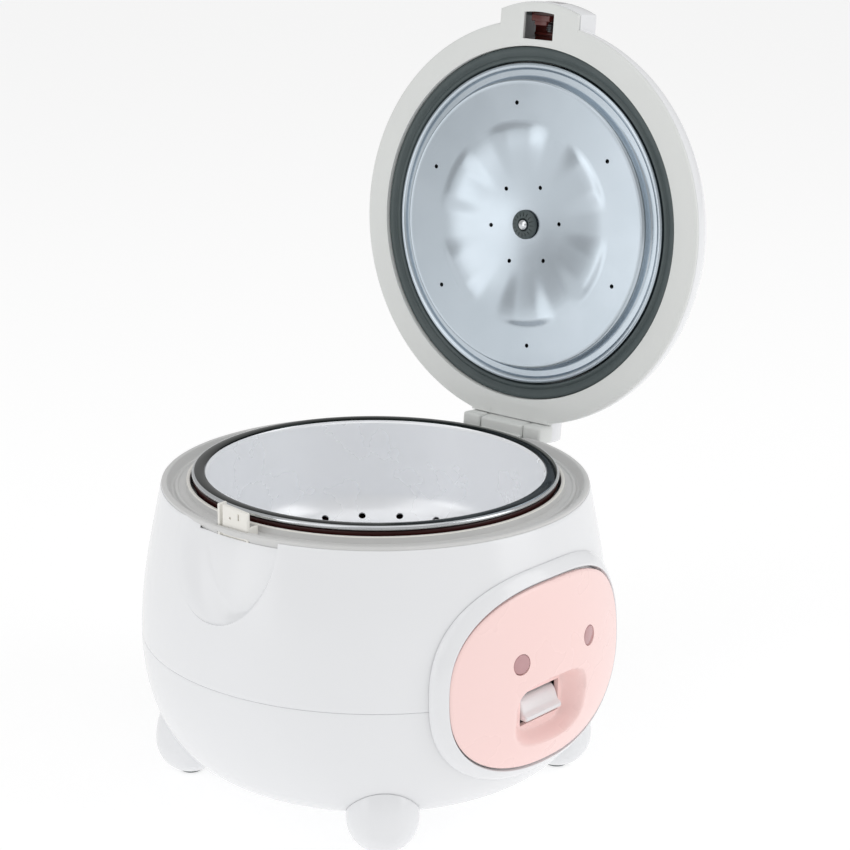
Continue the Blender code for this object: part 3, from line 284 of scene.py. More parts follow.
def gathered(parts):
    # several loose shapes in one mesh
    whole = bmesh.new()
    for part in parts:
        mesh = bpy.data.meshes.new("loose")
        part.to_mesh(mesh)
        part.free()
        whole.from_mesh(mesh)
        bpy.data.meshes.remove(mesh)
    return whole


def looseObject(bm):
    mesh = bpy.data.meshes.new("helper")
    bmesh.ops.recalc_face_normals(bm, faces=bm.faces)
    bm.to_mesh(mesh)
    bm.free()
    helper = bpy.data.objects.new("helper", mesh)
    bpy.context.scene.collection.objects.link(helper)
    return helper


def combined(bm, operation, *others):
    # exact booleans, applied at once; the helpers are then removed
    base = looseObject(bm)
    helpers = [looseObject(other) for other in others]
    for helper in helpers:
        step = base.modifiers.new("step", "BOOLEAN")
        step.operation, step.solver, step.object = operation, "EXACT", helper
    graph = bpy.context.evaluated_depsgraph_get()
    result = bmesh.new()
    result.from_mesh(base.evaluated_get(graph).to_mesh())
    for helper in [base] + helpers:
        mesh = helper.data
        bpy.data.objects.remove(helper)
        bpy.data.meshes.remove(mesh)
    bmesh.ops.remove_doubles(result, verts=result.verts, dist=0.0005)
    return result


def finishPiece(name, bm, finish, body, nodes, place=None, smooth=32, second=None, third=None):
    # to metres, into its place, smooth but for its sharp edges, riding on its CAD body
    if place:
        bmesh.ops.transform(bm, matrix=place, verts=bm.verts)
    bmesh.ops.scale(bm, vec=(mm, mm, mm), verts=bm.verts)
    bmesh.ops.recalc_face_normals(bm, faces=bm.faces)
    mesh = bpy.data.meshes.new(name)
    bm.to_mesh(mesh)
    bm.free()
    mesh.shade_smooth()
    mesh.set_sharp_from_angle(angle=math.radians(smooth))
    piece = bpy.data.objects.new(name, mesh)
    bpy.context.scene.collection.objects.link(piece)
    mesh.materials.append(paint[finish])
    for more in filter(None, (second, third)):
        mesh.materials.append(paint[more])
    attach(piece, body)
    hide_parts(*nodes)
    return piece


def around(radius, azimuth, height=0.0):
    a = math.radians(azimuth)
    return Vector((radius * math.cos(a), radius * math.sin(a), height))


# the body's side, which the housings, scoop and face all follow

lowerSide = {"start": (66, 0), "first": (92, 1), "second": (102.9, 30), "end": (102.9, 58)}
upperSide = {"start": (102.9, 58), "first": (102.9, 80), "second": (97.9, 102), "end": (93.3, 124)}


def sideOf(curve, inset=0.0, steps=40):
    drop = inset if curve is lowerSide else 0.0
    ends = [(r - inset, z) for r, z in (curve["start"], curve["first"], curve["second"], curve["end"])]
    ends[0] = (ends[0][0], ends[0][1] + drop)
    ends[1] = (ends[1][0], ends[1][1] + drop)
    return bezierSide(*ends, steps)


sideTable = sideOf(lowerSide, 0, 160) + sideOf(upperSide, 0, 160)[1:]


def sideRadius(height):
    for (r0, z0), (r1, z1) in zip(sideTable, sideTable[1:]):
        if z0 <= height <= z1:
            return r0 + (r1 - r0) * (height - z0) / max(z1 - z0, 1e-6)
    return sideTable[0][0] if height < 0 else sideTable[-1][0]


def smoothStep(value):
    value = min(1.0, max(0.0, value))
    return value * value * (3 - 2 * value)


def wrapped(azimuth, height, size, exponent, inner, outer, cells=48, refine=None):
    # a grid squeezed to a superellipse, given two faces and bent on to the body's side
    bm = bmesh.new()
    bmesh.ops.create_grid(bm, x_segments=cells, y_segments=cells, size=1)
    for v in bm.verts:
        u, w = v.co.x, v.co.y
        u = math.copysign(1 - (1 - abs(u)) ** 1.25, u)
        w = math.copysign(1 - (1 - abs(w)) ** 1.25, w)
        reach = (abs(u) ** exponent + abs(w) ** exponent) ** (1 / exponent)
        share = max(abs(u), abs(w)) / reach if reach > 1e-9 else 0
        v.co = (u * share * size[0], w * share * size[1], 0)
    if refine:  # finer cells over the part that bends most
        (x0, y0), (x1, y1) = refine
        near = [e for e in bm.edges if all(x0 < v.co.x < x1 and y0 < v.co.y < y1 for v in e.verts)]
        bmesh.ops.subdivide_edges(bm, edges=near, cuts=1, use_grid_fill=True)
    copy = bmesh.ops.extrude_face_region(bm, geom=bm.faces[:], use_keep_orig=True)
    top = {v for v in copy["geom"] if isinstance(v, bmesh.types.BMVert)}
    for v in bm.verts:
        across, up = v.co.x, v.co.y
        u, w = abs(across) / size[0], abs(up) / size[1]
        edge = (u ** exponent + w ** exponent) ** (1 / exponent)
        offset = (outer if v in top else inner)(across, up, edge)
        turn = azimuth + math.degrees(across / shape["bodyRadius"])
        v.co = around(sideRadius(height + up) + offset, turn, height + up)
    bmesh.ops.recalc_face_normals(bm, faces=bm.faces)
    return bm


# housings, deck and base

housing = {"seamGap": 0.12, "wall": 2.2, "faceAzimuth": -93.0, "faceHeight": 63.0, "openingSize": (52, 37.1)}
scoop = {"azimuth": 177.0, "size": (32.0, 38.5), "depth": 3.2, "edge": (0.05, 0.75)}


def faceOpening():
    return wrapped(
        housing["faceAzimuth"], housing["faceHeight"], housing["openingSize"], 2.45,
        lambda a, u, e: -9.0, lambda a, u, e: 9.0, 24,
    )


def hingeNotch():
    return slab((89.2, -22.9, 120.4), (125, 22.9, 140))


def scoopFloor(across, up, edge):
    # a crisp step down at one side that fades out at the other
    steep, gentle = scoop["edge"]
    fade = smoothStep(0.5 - across / scoop["size"][0] * 0.9)
    rise = smoothStep((1 - edge) / (steep + (gentle - steep) * fade))
    lip = 1.2 * (1 - fade) + 0.03
    return -lip - (scoop["depth"] - lip) * rise


def scoopCutter():
    return wrapped(
        scoop["azimuth"], shape["shoulderHeight"], scoop["size"], 2.0, scoopFloor, lambda a, u, e: 9.0, 72
    )


def makeHousings():
    seam, gap, wall = shape["seam"], housing["seamGap"] / 2, housing["wall"]
    outline = sideOf(lowerSide)
    outline[-1] = (outline[-1][0], seam - gap)
    inner = [(r, z) for r, z in reversed(sideOf(lowerSide, wall)) if z > 6]
    inner[0] = (inner[0][0], seam - gap)
    step = [(59, 5.4), (59, 2.6), (65.2, 2.6), (65.2, 0)]
    lower = spun(outline + inner + step, bevel=0.15, sharp=50)
    lower = combined(lower, "DIFFERENCE", faceOpening(), slab((-14.4, 70, 21.6), (14.4, 120, 42.4), 1.2))
    finishPiece("lowerHousing", lower, "glossyWhiteAbs", "body", ["lower_housing"])
    outline = sideOf(upperSide)
    outline[0] = (outline[0][0], seam + gap)
    thick = [(r, z) for r, z in reversed(sideOf(upperSide, 5.6)) if z < 120.5]
    thick[-1] = (thick[-1][0], seam + gap)
    lip = [(shape["shoulder"] - wall, shape["shoulderHeight"]), (sideRadius(120.9) - wall, 120.9)]
    lip.append((sideRadius(120.9) - 5.6, 120.9))
    upper = spun(outline + lip + thick, bevel=0.15, sharp=50)

    upper = combined(upper, "DIFFERENCE", scoopCutter(), faceOpening(), hingeNotch())
    finishPiece("upperHousing", upper, "glossyWhiteAbs", "body", ["upper_housing"])


makeHousings()
print("housings made")

deck = {"collar": 80.6, "collarWidth": 1.6, "collarTop": 126.0, "floor": 123.0, "outside": 93.0}


def makeDeck():
    collar, width, floor, outside = deck["collar"], deck["collarWidth"], deck["floor"], deck["outside"]
    outline = [
        (collar, 118), (collar + width, 118), (collar + width, floor - 1.8), (outside - 4.2, floor - 1.8),
        (outside - 4.2, floor - 2.4), (outside - 2.8, floor - 2.4), (outside - 0.8, floor - 0.1),
        (outside - 0.1, 124.0), (outside, 124.3), (outside, 125.2), (outside - 1.0, 125.6),
        (outside - 2.4, 125.5), (outside - 3.6, floor + 0.2), (outside - 4.4, floor - 0.7),
        (outside - 5.4, floor - 0.6), (outside - 5.9, floor + 0.4), (outside - 7.0, floor + 0.5),
        (outside - 7.5, floor), (collar + width + 0.2, floor), (collar + width, deck["collarTop"]),
        (collar, deck["collarTop"]),
    ]
    ring = spun(outline, bevel=0.35, sharp=20, segments=3)
    seat = slab((-91.7, -8.7, 120), (-84.3, 8.7, 130))
    ring = combined(ring, "DIFFERENCE", hingeNotch(), seat)
    for f in ring.faces:  # the top of the collar round the pot takes the paler nylon colour, a painted highlight along its lit top edge
        centre = f.calc_center_median()
        if centre.xy.length < collar + width + 0.05 and centre.z > floor + 0.1:
            f.material_index = 1
    finishPiece(
        "deckRing", ring, "paleGreyAbs", "body", ["deck_ring"], second="naturalNylon"
    )


def makeCatch():
    # an upright plate with two moulding marks, a fin on its left and a gusset on its right
    plate = slab((-91.3, -8.2, 121.6), (-89.3, 5.6, 134.8))
    for v in plate.verts:
        if v.co.z > 130:  # its top edge falls away to the right
            v.co.z -= (5.6 - v.co.y) / 13.8 * 1.4
    roundEdges(plate, 0.6, 28, 3)
    fin = slab((-91.4, 6.9, 121.2), (-86.8, 8.2, 134.6), 0.4)
    back = slab((-90.2, -1.0, 121.6), (-86.7, 1.0, 131.6), 0.4)
    bridge = slab((-90.2, 5.0, 121.6), (-88.6, 7.4, 126.5))
    foot = slab((-89.9, -8.3, 120.65), (-84.7, 8.3, 123.6), 0.5)
    gusset = slab((-91.0, -8.3, 121.0), (-84.8, -7.1, 127.0), 0.3)
    whole = combined(plate, "UNION", fin, back, bridge, foot, gusset)
    marks = gathered([
        bar(0.55, (-92, 1.2, 129.6), (-90.6, 1.2, 129.6), 20),
        slab((-92, -3.9, 129.4), (-90.4, -3.0, 132.2)),
    ])
    whole = combined(whole, "DIFFERENCE", marks)
    finishPiece("catchPost", whole, "naturalNylon", "body", ["catch_post"])


makeDeck()
makeCatch()
print("deck made")

foot = {"drop": 12.0, "radius": 15.4, "circle": 82.6, "padRadius": 5.2}


def makeFeet():
    # egg shapes, cut to the housing that they are screwed to
    low, radius = -foot["drop"], foot["radius"]
    for index in range(4):
        spot = around(foot["circle"], -48 + 90 * index)
        ball = low + radius
        bm = bmesh.new()
        bmesh.ops.create_uvsphere(bm, u_segments=64, v_segments=40, radius=radius)
        for v in bm.verts:
            v.co.z *= 1.6 if v.co.z > 0 else 1.0
        bmesh.ops.translate(bm, vec=(spot.x, spot.y, ball), verts=bm.verts)
        hull = [(r + 0.3, z) for r, z in sideOf(lowerSide, 0, 40)]
        hull[0] = (hull[0][0], -0.3)
        flat = slab((spot.x - 20, spot.y - 20, low - 9), (spot.x + 20, spot.y + 20, low + 0.6))
        pocket = bar(foot["padRadius"], (spot.x, spot.y, low - 1), (spot.x, spot.y, low + 1.3))
        egg = combined(bm, "DIFFERENCE", spun(hull + [(0, 58), (0, -0.3)], 128), flat, pocket)
        name = f"foot_{index + 1}"
        finishPiece(f"eggFoot{index + 1}", egg, "glossyWhiteAbs", "body", [name])
        pad = bar(foot["padRadius"] - 0.4, (spot.x, spot.y, low), (spot.x, spot.y, low + 1), 40, 0.35)
        name = f"foot_pad_{index + 1}"
        finishPiece(f"footPad{index + 1}", pad, "darkSiliconeRubber", "body", [name])


def makeBase():
    cover = spun([(0, 0), (64.9, 0), (64.9, 2.3), (0, 2.3)], 128, 0.4)
    slots = gathered([slab((26, -1.5, -1), (46, 1.5, 3), 0.0, 60 * turn) for turn in range(6)])
    holes = gathered([
        bar(1.7, around(62.2, 45 + 90 * turn, -1), around(62.2, 45 + 90 * turn, 3), 24) for turn in range(4)
    ])
    sinks = gathered([
        bar(3.0, around(62.2, 45 + 90 * turn, -1), around(62.2, 45 + 90 * turn, 1.5), 40) for turn in range(4)
    ])
    cover = combined(cover, "DIFFERENCE", slots, holes, sinks)
    finishPiece("baseCover", cover, "glossyWhiteAbs", "body", ["base_cover"])


makeFeet()
makeBase()
print("feet and base made")

# face

face = {
    "azimuth": -93.0, "height": 63.0, "size": (56.0, 40.0), "band": 7.4, "exponent": 2.45, "proud": 1.6,
    "bowAcross": 3.0, "bowUp": 1.0, "eyeSpread": 22.2, "eyeHeight": 72.3, "eyeRadius": 4.3,
    "recessHeight": 47.4, "recessRim": (23.2, 15.0), "recessFloor": 93.6,
    "windowHeight": 46.5, "windowHalf": (12.6, 7.1),
}


def faceBow(across, up):
    return face["bowAcross"] * (across / 56) ** 2 + face["bowUp"] * (up / 40) ** 2


def recessDepth(across, up):
    # 1 on the flat floor of the finger recess, 0 outside it, with a long soft slope on the left
    wide, high = face["recessRim"]
    x = (across + 3.0) / wide
    z = (up + face["height"] - face["recessHeight"]) / high
    reach = (abs(x) ** 3.2 + abs(z) ** 3.2) ** (1 / 3.2)
    lean = x / (abs(x) + abs(z) + 1e-6)
    start = 0.75 + (0.09 * lean if lean > 0 else 0.24 * lean)
    return 1 - smoothStep((reach - start) / (1 - start))


def panelFront(across, up, edge):
    height = face["height"] + up
    flat = face["proud"] + faceBow(across, up) - 0.5 * max(0.0, (edge - 0.975) / 0.025) ** 2
    share = recessDepth(across, up)
    angle = across / shape["bodyRadius"]
    floor = face["recessFloor"] / math.cos(angle) - sideRadius(height)  # a flat floor, in the same terms
    return flat + (floor - flat) * share


def makeFace():
    back = wrapped(
        face["azimuth"], face["height"], (55.92, 39.92), face["exponent"],
        lambda a, u, e: panelFront(a, u, e) - 1.5 - 0.7 * recessDepth(a, u), panelFront, 92,
        ((-29, -33), (23, 2)),
    )
    halfWide, halfHigh = face["windowHalf"]
    window = slab(
        (80, -halfWide, face["windowHeight"] - halfHigh), (97, halfWide, face["windowHeight"] + halfHigh),
        0.0, face["azimuth"],
    )
    eyes = []
    for side in (-1, 1):
        turn = face["azimuth"] + side * math.degrees(face["eyeSpread"] / shape["bodyRadius"])
        radius, high = sideRadius(face["eyeHeight"]), face["eyeHeight"]
        start, end = around(radius - 6, turn, high), around(radius + 9, turn, high)
        eyes.append(bar(face["eyeRadius"] + 0.2, start, end, 64))
    panel = combined(back, "DIFFERENCE", window, *eyes)
    finishPiece("facePanel", panel, "palePinkAbs", "body", ["face_panel"])
    for side, name in ((-1, "warm"), (1, "cook")):
        turn = face["azimuth"] + side * math.degrees(face["eyeSpread"] / shape["bodyRadius"])
        radius, high = sideRadius(face["eyeHeight"]), face["eyeHeight"]
        lens = bar(
            face["eyeRadius"], around(radius - 3, turn, high),
            around(radius + face["proud"] + faceBow(22.2, 9.3) - 0.15, turn, high), 64, 0.45,
        )
        finishPiece(
            f"{name}Lens", lens, "dustyPinkPolycarbonate", "body", [f"{name}_lens"]
        )
    # the white band: an outline loop, extruded from station to station round its section
    bm = bmesh.new()
    bmesh.ops.create_circle(bm, cap_ends=False, segments=200, radius=1)
    base = [v.co.copy() for v in bm.verts]
    outer = (face["size"][0] + face["band"], face["size"][1] + face["band"] - 0.6)
    share = face["size"][0] / outer[0]
    stations = [
        (share, 0.35, 0), (share, 1.1, 0.96), (share + 0.002, 1.45, 1), (share + 0.006, 1.55, 1),
        (0.90, 1.5, 0.97), (0.915, 1.42, 0.88), (0.93, 1.34, 0.78), (0.945, 1.25, 0.67),
        (0.958, 1.15, 0.55), (0.97, 1.05, 0.43),
        (0.98, 0.93, 0.3), (0.99, 0.76, 0.16), (0.996, 0.58, 0.06), (1.0, 0.35, 0),
    ]
    loop = bm.edges[:]
    first = loop

    def placeLoop(edges, station):
        verts = {v for e in edges for v in e.verts}
        for v in verts:
            spotIndex = v[order]
            c = base[spotIndex]
            across = math.copysign(abs(c.x) ** (2 / face["exponent"]), c.x) * outer[0] * station[0]
            up = math.copysign(abs(c.y) ** (2 / face["exponent"]), c.y) * outer[1] * station[0]
            offset = station[1] + station[2] * faceBow(across, up)
            turn = face["azimuth"] + math.degrees(across / shape["bodyRadius"])
            v.co = around(sideRadius(face["height"] + up) + offset, turn, face["height"] + up)

    order = bm.verts.layers.int.new("order")
    for number, v in enumerate(bm.verts):
        v[order] = number
    placeLoop(loop, stations[0])
    for station in stations[1:]:
        step = bmesh.ops.extrude_edge_only(bm, edges=loop)
        loop = [g for g in step["geom"] if isinstance(g, bmesh.types.BMEdge)]
        placeLoop(loop, station)
    bmesh.ops.bridge_loops(bm, edges=first + loop)
    finishPiece("faceBezel", bm, "glossyWhiteAbs", "body", ["face_bezel"], smooth=40)


leverKey = {"halfWide": 12.0, "bevel": 1.6}


def makeLeverKey():
    # a rocker key: a full bright lip along the bottom, then a dished face that leans back
    outline = [
        (87.6, 41.6), (95.4, 41.6), (96.3, 41.9), (96.6, 42.6), (96.5, 43.6), (95.9, 44.3), (94.9, 44.8),
        (94.2, 45.8), (93.6, 47.4), (92.8, 49.2), (91.6, 50.6), (90.0, 51.3), (87.6, 51.4),
    ]
    wide = leverKey["halfWide"]
    bm = bmesh.new()
    side = bm.faces.new([bm.verts.new((x, -wide, z)) for x, z in outline])
    copy = bmesh.ops.extrude_face_region(bm, geom=[side])
    far = [v for v in copy["geom"] if isinstance(v, bmesh.types.BMVert)]
    bmesh.ops.translate(bm, vec=(0, 2 * wide, 0), verts=far)
    bmesh.ops.recalc_face_normals(bm, faces=bm.faces)
    ends = [e for e in bm.edges if e.is_manifold and e.calc_face_angle(0) > math.radians(80)]
    ends = [
        e for e in ends
        if abs(abs(e.verts[0].co.y) - wide) < 0.01 and e.verts[0].co.y == e.verts[1].co.y
    ]
    bmesh.ops.bevel(
        bm, geom=ends, offset=leverKey["bevel"], segments=5, profile=0.5, affect="EDGES", material=-1,
        clamp_overlap=True,
    )
    turn = Matrix.Rotation(math.radians(face["azimuth"]), 4, "Z")
    finishPiece("leverKey", bm, "glossyWhiteAbs", "lever", ["lever_key"], turn)


makeFace()
makeLeverKey()
print("face made")

# pot and tray

tray = {
    "throat": 74.2, "depth": 50.0, "corner": 17.0, "wall": 0.9, "beadHeight": 2.4,
    "drains": 24, "drainAngle": 51.0, "drainRadius": 1.7, "paintedHighlightRadius": 79.0,
}
pot = {"outer": 76.1, "depth": 86.4, "corner": 16.0, "wall": 1.4, "lip": 2.4}


def bowlSide(outer, top, low, corner, wall):
    # inside then outside of a round-cornered bowl, as two profiles
    inside = [(0, low + wall), (outer - corner, low + wall)]
    k = 0.5523 * (corner - wall)
    inside += bezierSide(
        (outer - corner, low + wall), (outer - corner + k, low + wall),
        (outer - wall, low + corner - k), (outer - wall, low + corner), 14,
    )[1:]
    k = 0.5523 * corner
    outside = bezierSide(
        (outer, low + corner), (outer, low + corner - k), (outer - corner + k, low), (outer - corner, low), 14
    )
    return inside + [(outer - wall, top)], outside + [(0, low)]


def makeTray():
    top = shape["rimHeight"]
    mid = top - tray["beadHeight"] / 2
    inside, outside = bowlSide(tray["throat"], top - 2.1, top - tray["depth"], tray["corner"], tray["wall"])
    rim = shape["rim"]
    groove = [(tray["throat"] - 0.3, top - 1.5), (tray["throat"] - 0.2, top - 0.9)]
    bead = bezierSide(
        (tray["throat"] + 0.2, top - 0.35), (tray["throat"] + 1.4, top + 0.05),
        (rim - 2.2, top + 0.1), (rim - 0.7, top - 0.4), 10,
    )
    bead += bezierSide(
        (rim - 0.7, top - 0.4), (rim + 0.05, top - 0.8), (rim + 0.1, mid - 0.6), (rim - 0.6, top - 2.3), 6,
    )[1:]
    under = [(rim - 1.4, top - 2.4), (tray["throat"] + 0.9, top - 2.4), (tray["throat"], top - 2.7)]
    bm = spun(inside + groove + bead + under + outside)
    slope = math.radians(tray["drainAngle"])
    circle = tray["throat"] - tray["corner"] * (1 - math.cos(slope))
    height = top - tray["depth"] + tray["corner"] * (1 - math.sin(slope))
    drains = []
    for index in range(tray["drains"]):
        azimuth = 360 / tray["drains"] * index
        lean = around(1, azimuth, -math.tan(slope)).normalized() * 4
        middle = around(circle, azimuth, height)
        drains.append(bar(tray["drainRadius"], middle - lean, middle + lean, 20))
    bm = combined(bm, "DIFFERENCE", gathered(drains))
    # the rolled bead is painted: its top in darkened chrome as a painted reflection, its outer edge past the
    # set radius in bright polished steel as a painted highlight band
    for f in bm.faces:
        centre = f.calc_center_median()
        if centre.xy.length > tray["throat"] - 0.15 and centre.z > top - 2.75:
            f.material_index = 2 if centre.xy.length > tray["paintedHighlightRadius"] else 1
    finishPiece(
        "steamTray", bm, "satinStainless", "tray", ["steam_tray"],
        second="darkChrome", third="polishedStainless",
    )


def makePot():
    top = shape["rimHeight"] - 2.7
    floor = shape["rimHeight"] - pot["depth"]
    inside, outside = bowlSide(pot["outer"], top, floor, pot["corner"], pot["wall"])
    lip = [(79.0, top), (79.3, top - 0.4), (79.3, top - pot["lip"]), (pot["outer"], top - pot["lip"])]
    bm = spun(inside + lip + outside)
    finishPiece("innerPot", bm, "wineNonStickCoat", "pot", ["inner_pot"])


makeTray()
makePot()
print("pot and tray made")

# lid, modelled shut and then turned open

lid = {
    "radius": 92.6, "low": 128.5, "height": 38.5, "tabReach": 101.0, "tabHalf": 21.7,
    "tabRound": 56.0, "panRadius": 81.0, "backHalf": 22.3, "ventX": 34.0,
}


def bowedSlab(reach, half, low, high, near, bevel=0.0):
    # a slab whose front edge is cut to an arc
    bm = slab((-reach, -half, low), (-near, half, high))
    arcX = lid["tabRound"] - reach
    bm = combined(bm, "INTERSECT", bar(lid["tabRound"], (arcX, 0, low - 1), (arcX, 0, high + 1), 160))
    return roundEdges(bm, bevel, 30, 3) if bevel else bm


def makeLidShell():
    low = lid["low"]
    shell, top = low + 1.8, low + lid["height"]
    outside = bezierSide((lid["radius"], shell), (lid["radius"] + 1, low + 17), (72, top - 1), (0, top), 40)
    inside = bezierSide(
        (0, top - 2.2), (71, top - 3.2), (lid["radius"] - 1.6, low + 16.4), (lid["radius"] - 2.2, shell), 30
    )
    bm = spun(outside + inside, bevel=0.4, sharp=50)
    tab = bowedSlab(lid["tabReach"], lid["tabHalf"], shell, low + 14, 80, 2.0)
    heel = slab((80, -lid["backHalf"], shell), (99.5, lid["backHalf"], low + 12), 1.8)
    ears = []
    for side in (-1, 1):
        start, end = sorted((side * 12.4, side * lid["backHalf"]))
        ears.append(slab((90.8, start, 122.0), (99.2, end, shell + 3), 1.3))
    bm = combined(bm, "UNION", tab, heel, *ears)
    cavity = bowedSlab(lid["tabReach"] - 2.2, lid["tabHalf"] - 3, low - 5, low + 12.4, 72)
    knuckle = slab((89.8, -12.4, low - 20), (107, 12.4, 132.6))
    x, z = shape["hingeX"], shape["hingeZ"]
    bore = bar(2.0, (x, -21.3, z), (x, 21.3, z))
    button = slab((-105, -7.4, low + 4.4), (-95, 7.4, low + 11.4), 0.8)
    vent = bar(9.0, (lid["ventX"], 0, low + 20), (lid["ventX"], 0, top + 20), 64)
    room = spun([(82.9, low - 9), (82.9, 138.9), (0, 138.9), (0, low - 9)])
    bm = combined(bm, "DIFFERENCE", cavity, knuckle, bore, button, vent, room)
    for f in bm.faces:  # the ears are moulded in the frame's grey
        centre = f.calc_center_median()
        if centre.x > 88 and centre.z < 131.5:
            f.material_index = 1
    finishPiece(
        "lidShell", bm, "glossyWhiteAbs", "lid", ["lid_outer"], lidOpen,
        second="satinGreyPolypropylene",
    )


def makeLidPan():
    low, inner = lid["low"], lid["panRadius"]
    outline = [
        (inner, low), (lid["radius"] - 1.6, low), (lid["radius"] - 0.8, low + 0.2),
        (lid["radius"] - 0.2, low + 0.7),
        (lid["radius"], low + 1.5), (inner + 1.6, low + 1.5),
        (inner + 1.6, 138.6), (3.2, 138.6), (3.2, 137.0), (inner, 137.0),
    ]
    bm = spun(outline)
    tab = bowedSlab(lid["tabReach"] - 0.4, lid["tabHalf"] - 0.4, low, low + 1.5, 84)
    heel = slab((84, -lid["backHalf"] + 0.4, low), (90.3, lid["backHalf"] - 0.4, low + 1.5))
    bm = combined(bm, "UNION", tab, heel)
    socket = bowedSlab(96.4, 8.2, low - 3, low + 4, 84)
    vent = bar(5.0, (lid["ventX"], 0, low), (lid["ventX"], 0, low + 20), 48)
    room = slab((90.4, -lid["backHalf"] - 0.4, low - 4), (103, lid["backHalf"] + 0.4, low + 4))
    bm = combined(bm, "DIFFERENCE", socket, vent, room)
    roundEdges(bm, 0.3, 50, 2)
    finishPiece(
        "lidPan", bm, "satinGreyPolypropylene", "lid", ["lid_pan"], lidOpen
    )


def makeGasket():
    # a soft ring: round outer shoulder, shallow channel, and a raised inner lip
    outer, inner, face0 = 80.7, 74.1, 130.4
    outline = [(inner, face0 + 5.4), (inner, face0 + 1.2)]
    outline += bezierSide(
        (inner, face0 + 1.2), (inner, face0 - 0.2), (inner + 1.4, face0 - 0.2), (inner + 2.0, face0 + 0.5), 8,
    )
    outline += bezierSide(
        (inner + 2.4, face0 + 0.7), (inner + 3.2, face0 + 0.4), (outer - 2.6, face0 - 0.6),
        (outer - 1.2, face0 - 0.5), 8,
    )
    outline += bezierSide(
        (outer - 1.2, face0 - 0.5), (outer - 0.3, face0 - 0.5), (outer, face0 - 0.2), (outer, face0 + 0.8), 6,
    )[1:]
    outline.append((outer, face0 + 5.4))
    finishPiece(
        "lidGasket", spun(outline), "darkSiliconeRubber", "lid", ["lid_gasket"], lidOpen
    )


plate = {
    "radius": 73.5, "dish": 66.6, "height": 127.0, "groove": 131.6, "turn": 22.0,
    "innerCircle": 19.2, "outerCircle": 55.6, "hole": 1.0, "bossFoot": 44.0, "petal": 0.6, "sheet": 0.9,
}


def plateFace(radius):
    # the dish's underside: a raised boss that runs down to a flat, as one smooth slope
    high, low = plate["height"] + 3.2, plate["height"] + 0.05
    return low + (high - low) * (1 - smoothStep((radius - 5) / (plate["bossFoot"] - 5)))


def makeInnerPlate():
    dish, groove, rimR = plate["dish"], plate["groove"], plate["radius"]
    under = [(r, plateFace(r)) for r in [0] + [5 + 1.2 * step for step in range(51)]]
    under = [p for p in under if p[0] < dish - 1.2]
    under += bezierSide(
        (dish - 1.2, plate["height"]), (dish, plate["height"]), (dish + 0.2, groove), (dish + 1.2, groove), 8,
    )
    under += [(rimR - 3.2, groove)]
    under += bezierSide(
        (rimR - 3.0, groove - 0.2), (rimR - 2.6, plate["height"] + 2.7), (rimR - 0.2, plate["height"] + 2.6),
        (rimR, plate["height"] + 3.8), 8,
    )
    under += [
        (rimR, groove + 1.6), (rimR - 0.9, groove + 1.6), (rimR - 1.2, groove + plate["sheet"]),
        (dish - 0.4, groove + plate["sheet"]),
    ]
    above = [(r, plateFace(r) + plate["sheet"]) for r in range(63, 5, -3)]
    above.append((0, plateFace(0) + plate["sheet"]))
    bm = spun(under + above, 240)
    for v in bm.verts:  # six soft petals, pressed towards the outer holes
        radius = v.co.xy.length
        if 20 < radius < 50:
            angle = math.atan2(v.co.y, v.co.x) - math.radians(plate["turn"] + 30)
            width = smoothStep((math.cos(6 * angle) + 0.8) / 1.5)
            rise = smoothStep((radius - 20) / 20) * (1 - smoothStep((radius - plate["bossFoot"]) / 3.0))
            v.co.z -= plate["petal"] * width * rise
    holes = []
    for circle, turn in ((plate["innerCircle"], 0), (plate["outerCircle"], 30)):
        for index in range(6):
            spot = around(circle, plate["turn"] + turn + 60 * index, plate["height"])
            holes.append(bar(plate["hole"], spot - Vector((0, 0, 4)), spot + Vector((0, 0, 9)), 20))
    bm = combined(bm, "DIFFERENCE", gathered(holes), bar(5.0, (0, 0, 120), (0, 0, 140), 48))
    finishPiece(
        "innerPlate", bm, "satinPressedAluminium", "plate", ["inner_plate"], lidOpen
    )


def makePlateFixing():
    dish = plate["height"]
    outline = [
        (2.9, dish + 1.0), (3.7, dish + 0.6), (5.6, dish + 0.9), (6.6, dish + 1.7), (6.8, dish + 2.6),
        (4.6, dish + 2.6), (4.6, dish + 4.9), (6.2, dish + 4.9), (6.2, dish + 6.4), (2.9, dish + 6.4),
    ]
    grommet = spun(outline, 96, 0.3, 30)
    ribs = gathered([
        slab((3.9, -0.22, dish), (6.2, 0.22, dish + 1.15), 0.0, 22.5 * index) for index in range(16)
    ])
    grommet = combined(grommet, "DIFFERENCE", ribs)
    finishPiece(
        "plateGrommet", grommet, "darkSiliconeRubber", "plate", ["plate_grommet"], lidOpen
    )
    post = [
        (0, dish + 0.1), (1.3, dish + 0.2), (2.2, dish + 0.6), (2.6, dish + 1.4), (2.6, 135.0), (4.8, 135.0),
        (4.8, 136.7), (2.6, 136.7), (2.6, 139.0), (0, 139.0),
    ]
    bm = spun(post, 64)
    finishPiece("platePost", bm, "polishedStainless", "lid", ["plate_post"], lidOpen)


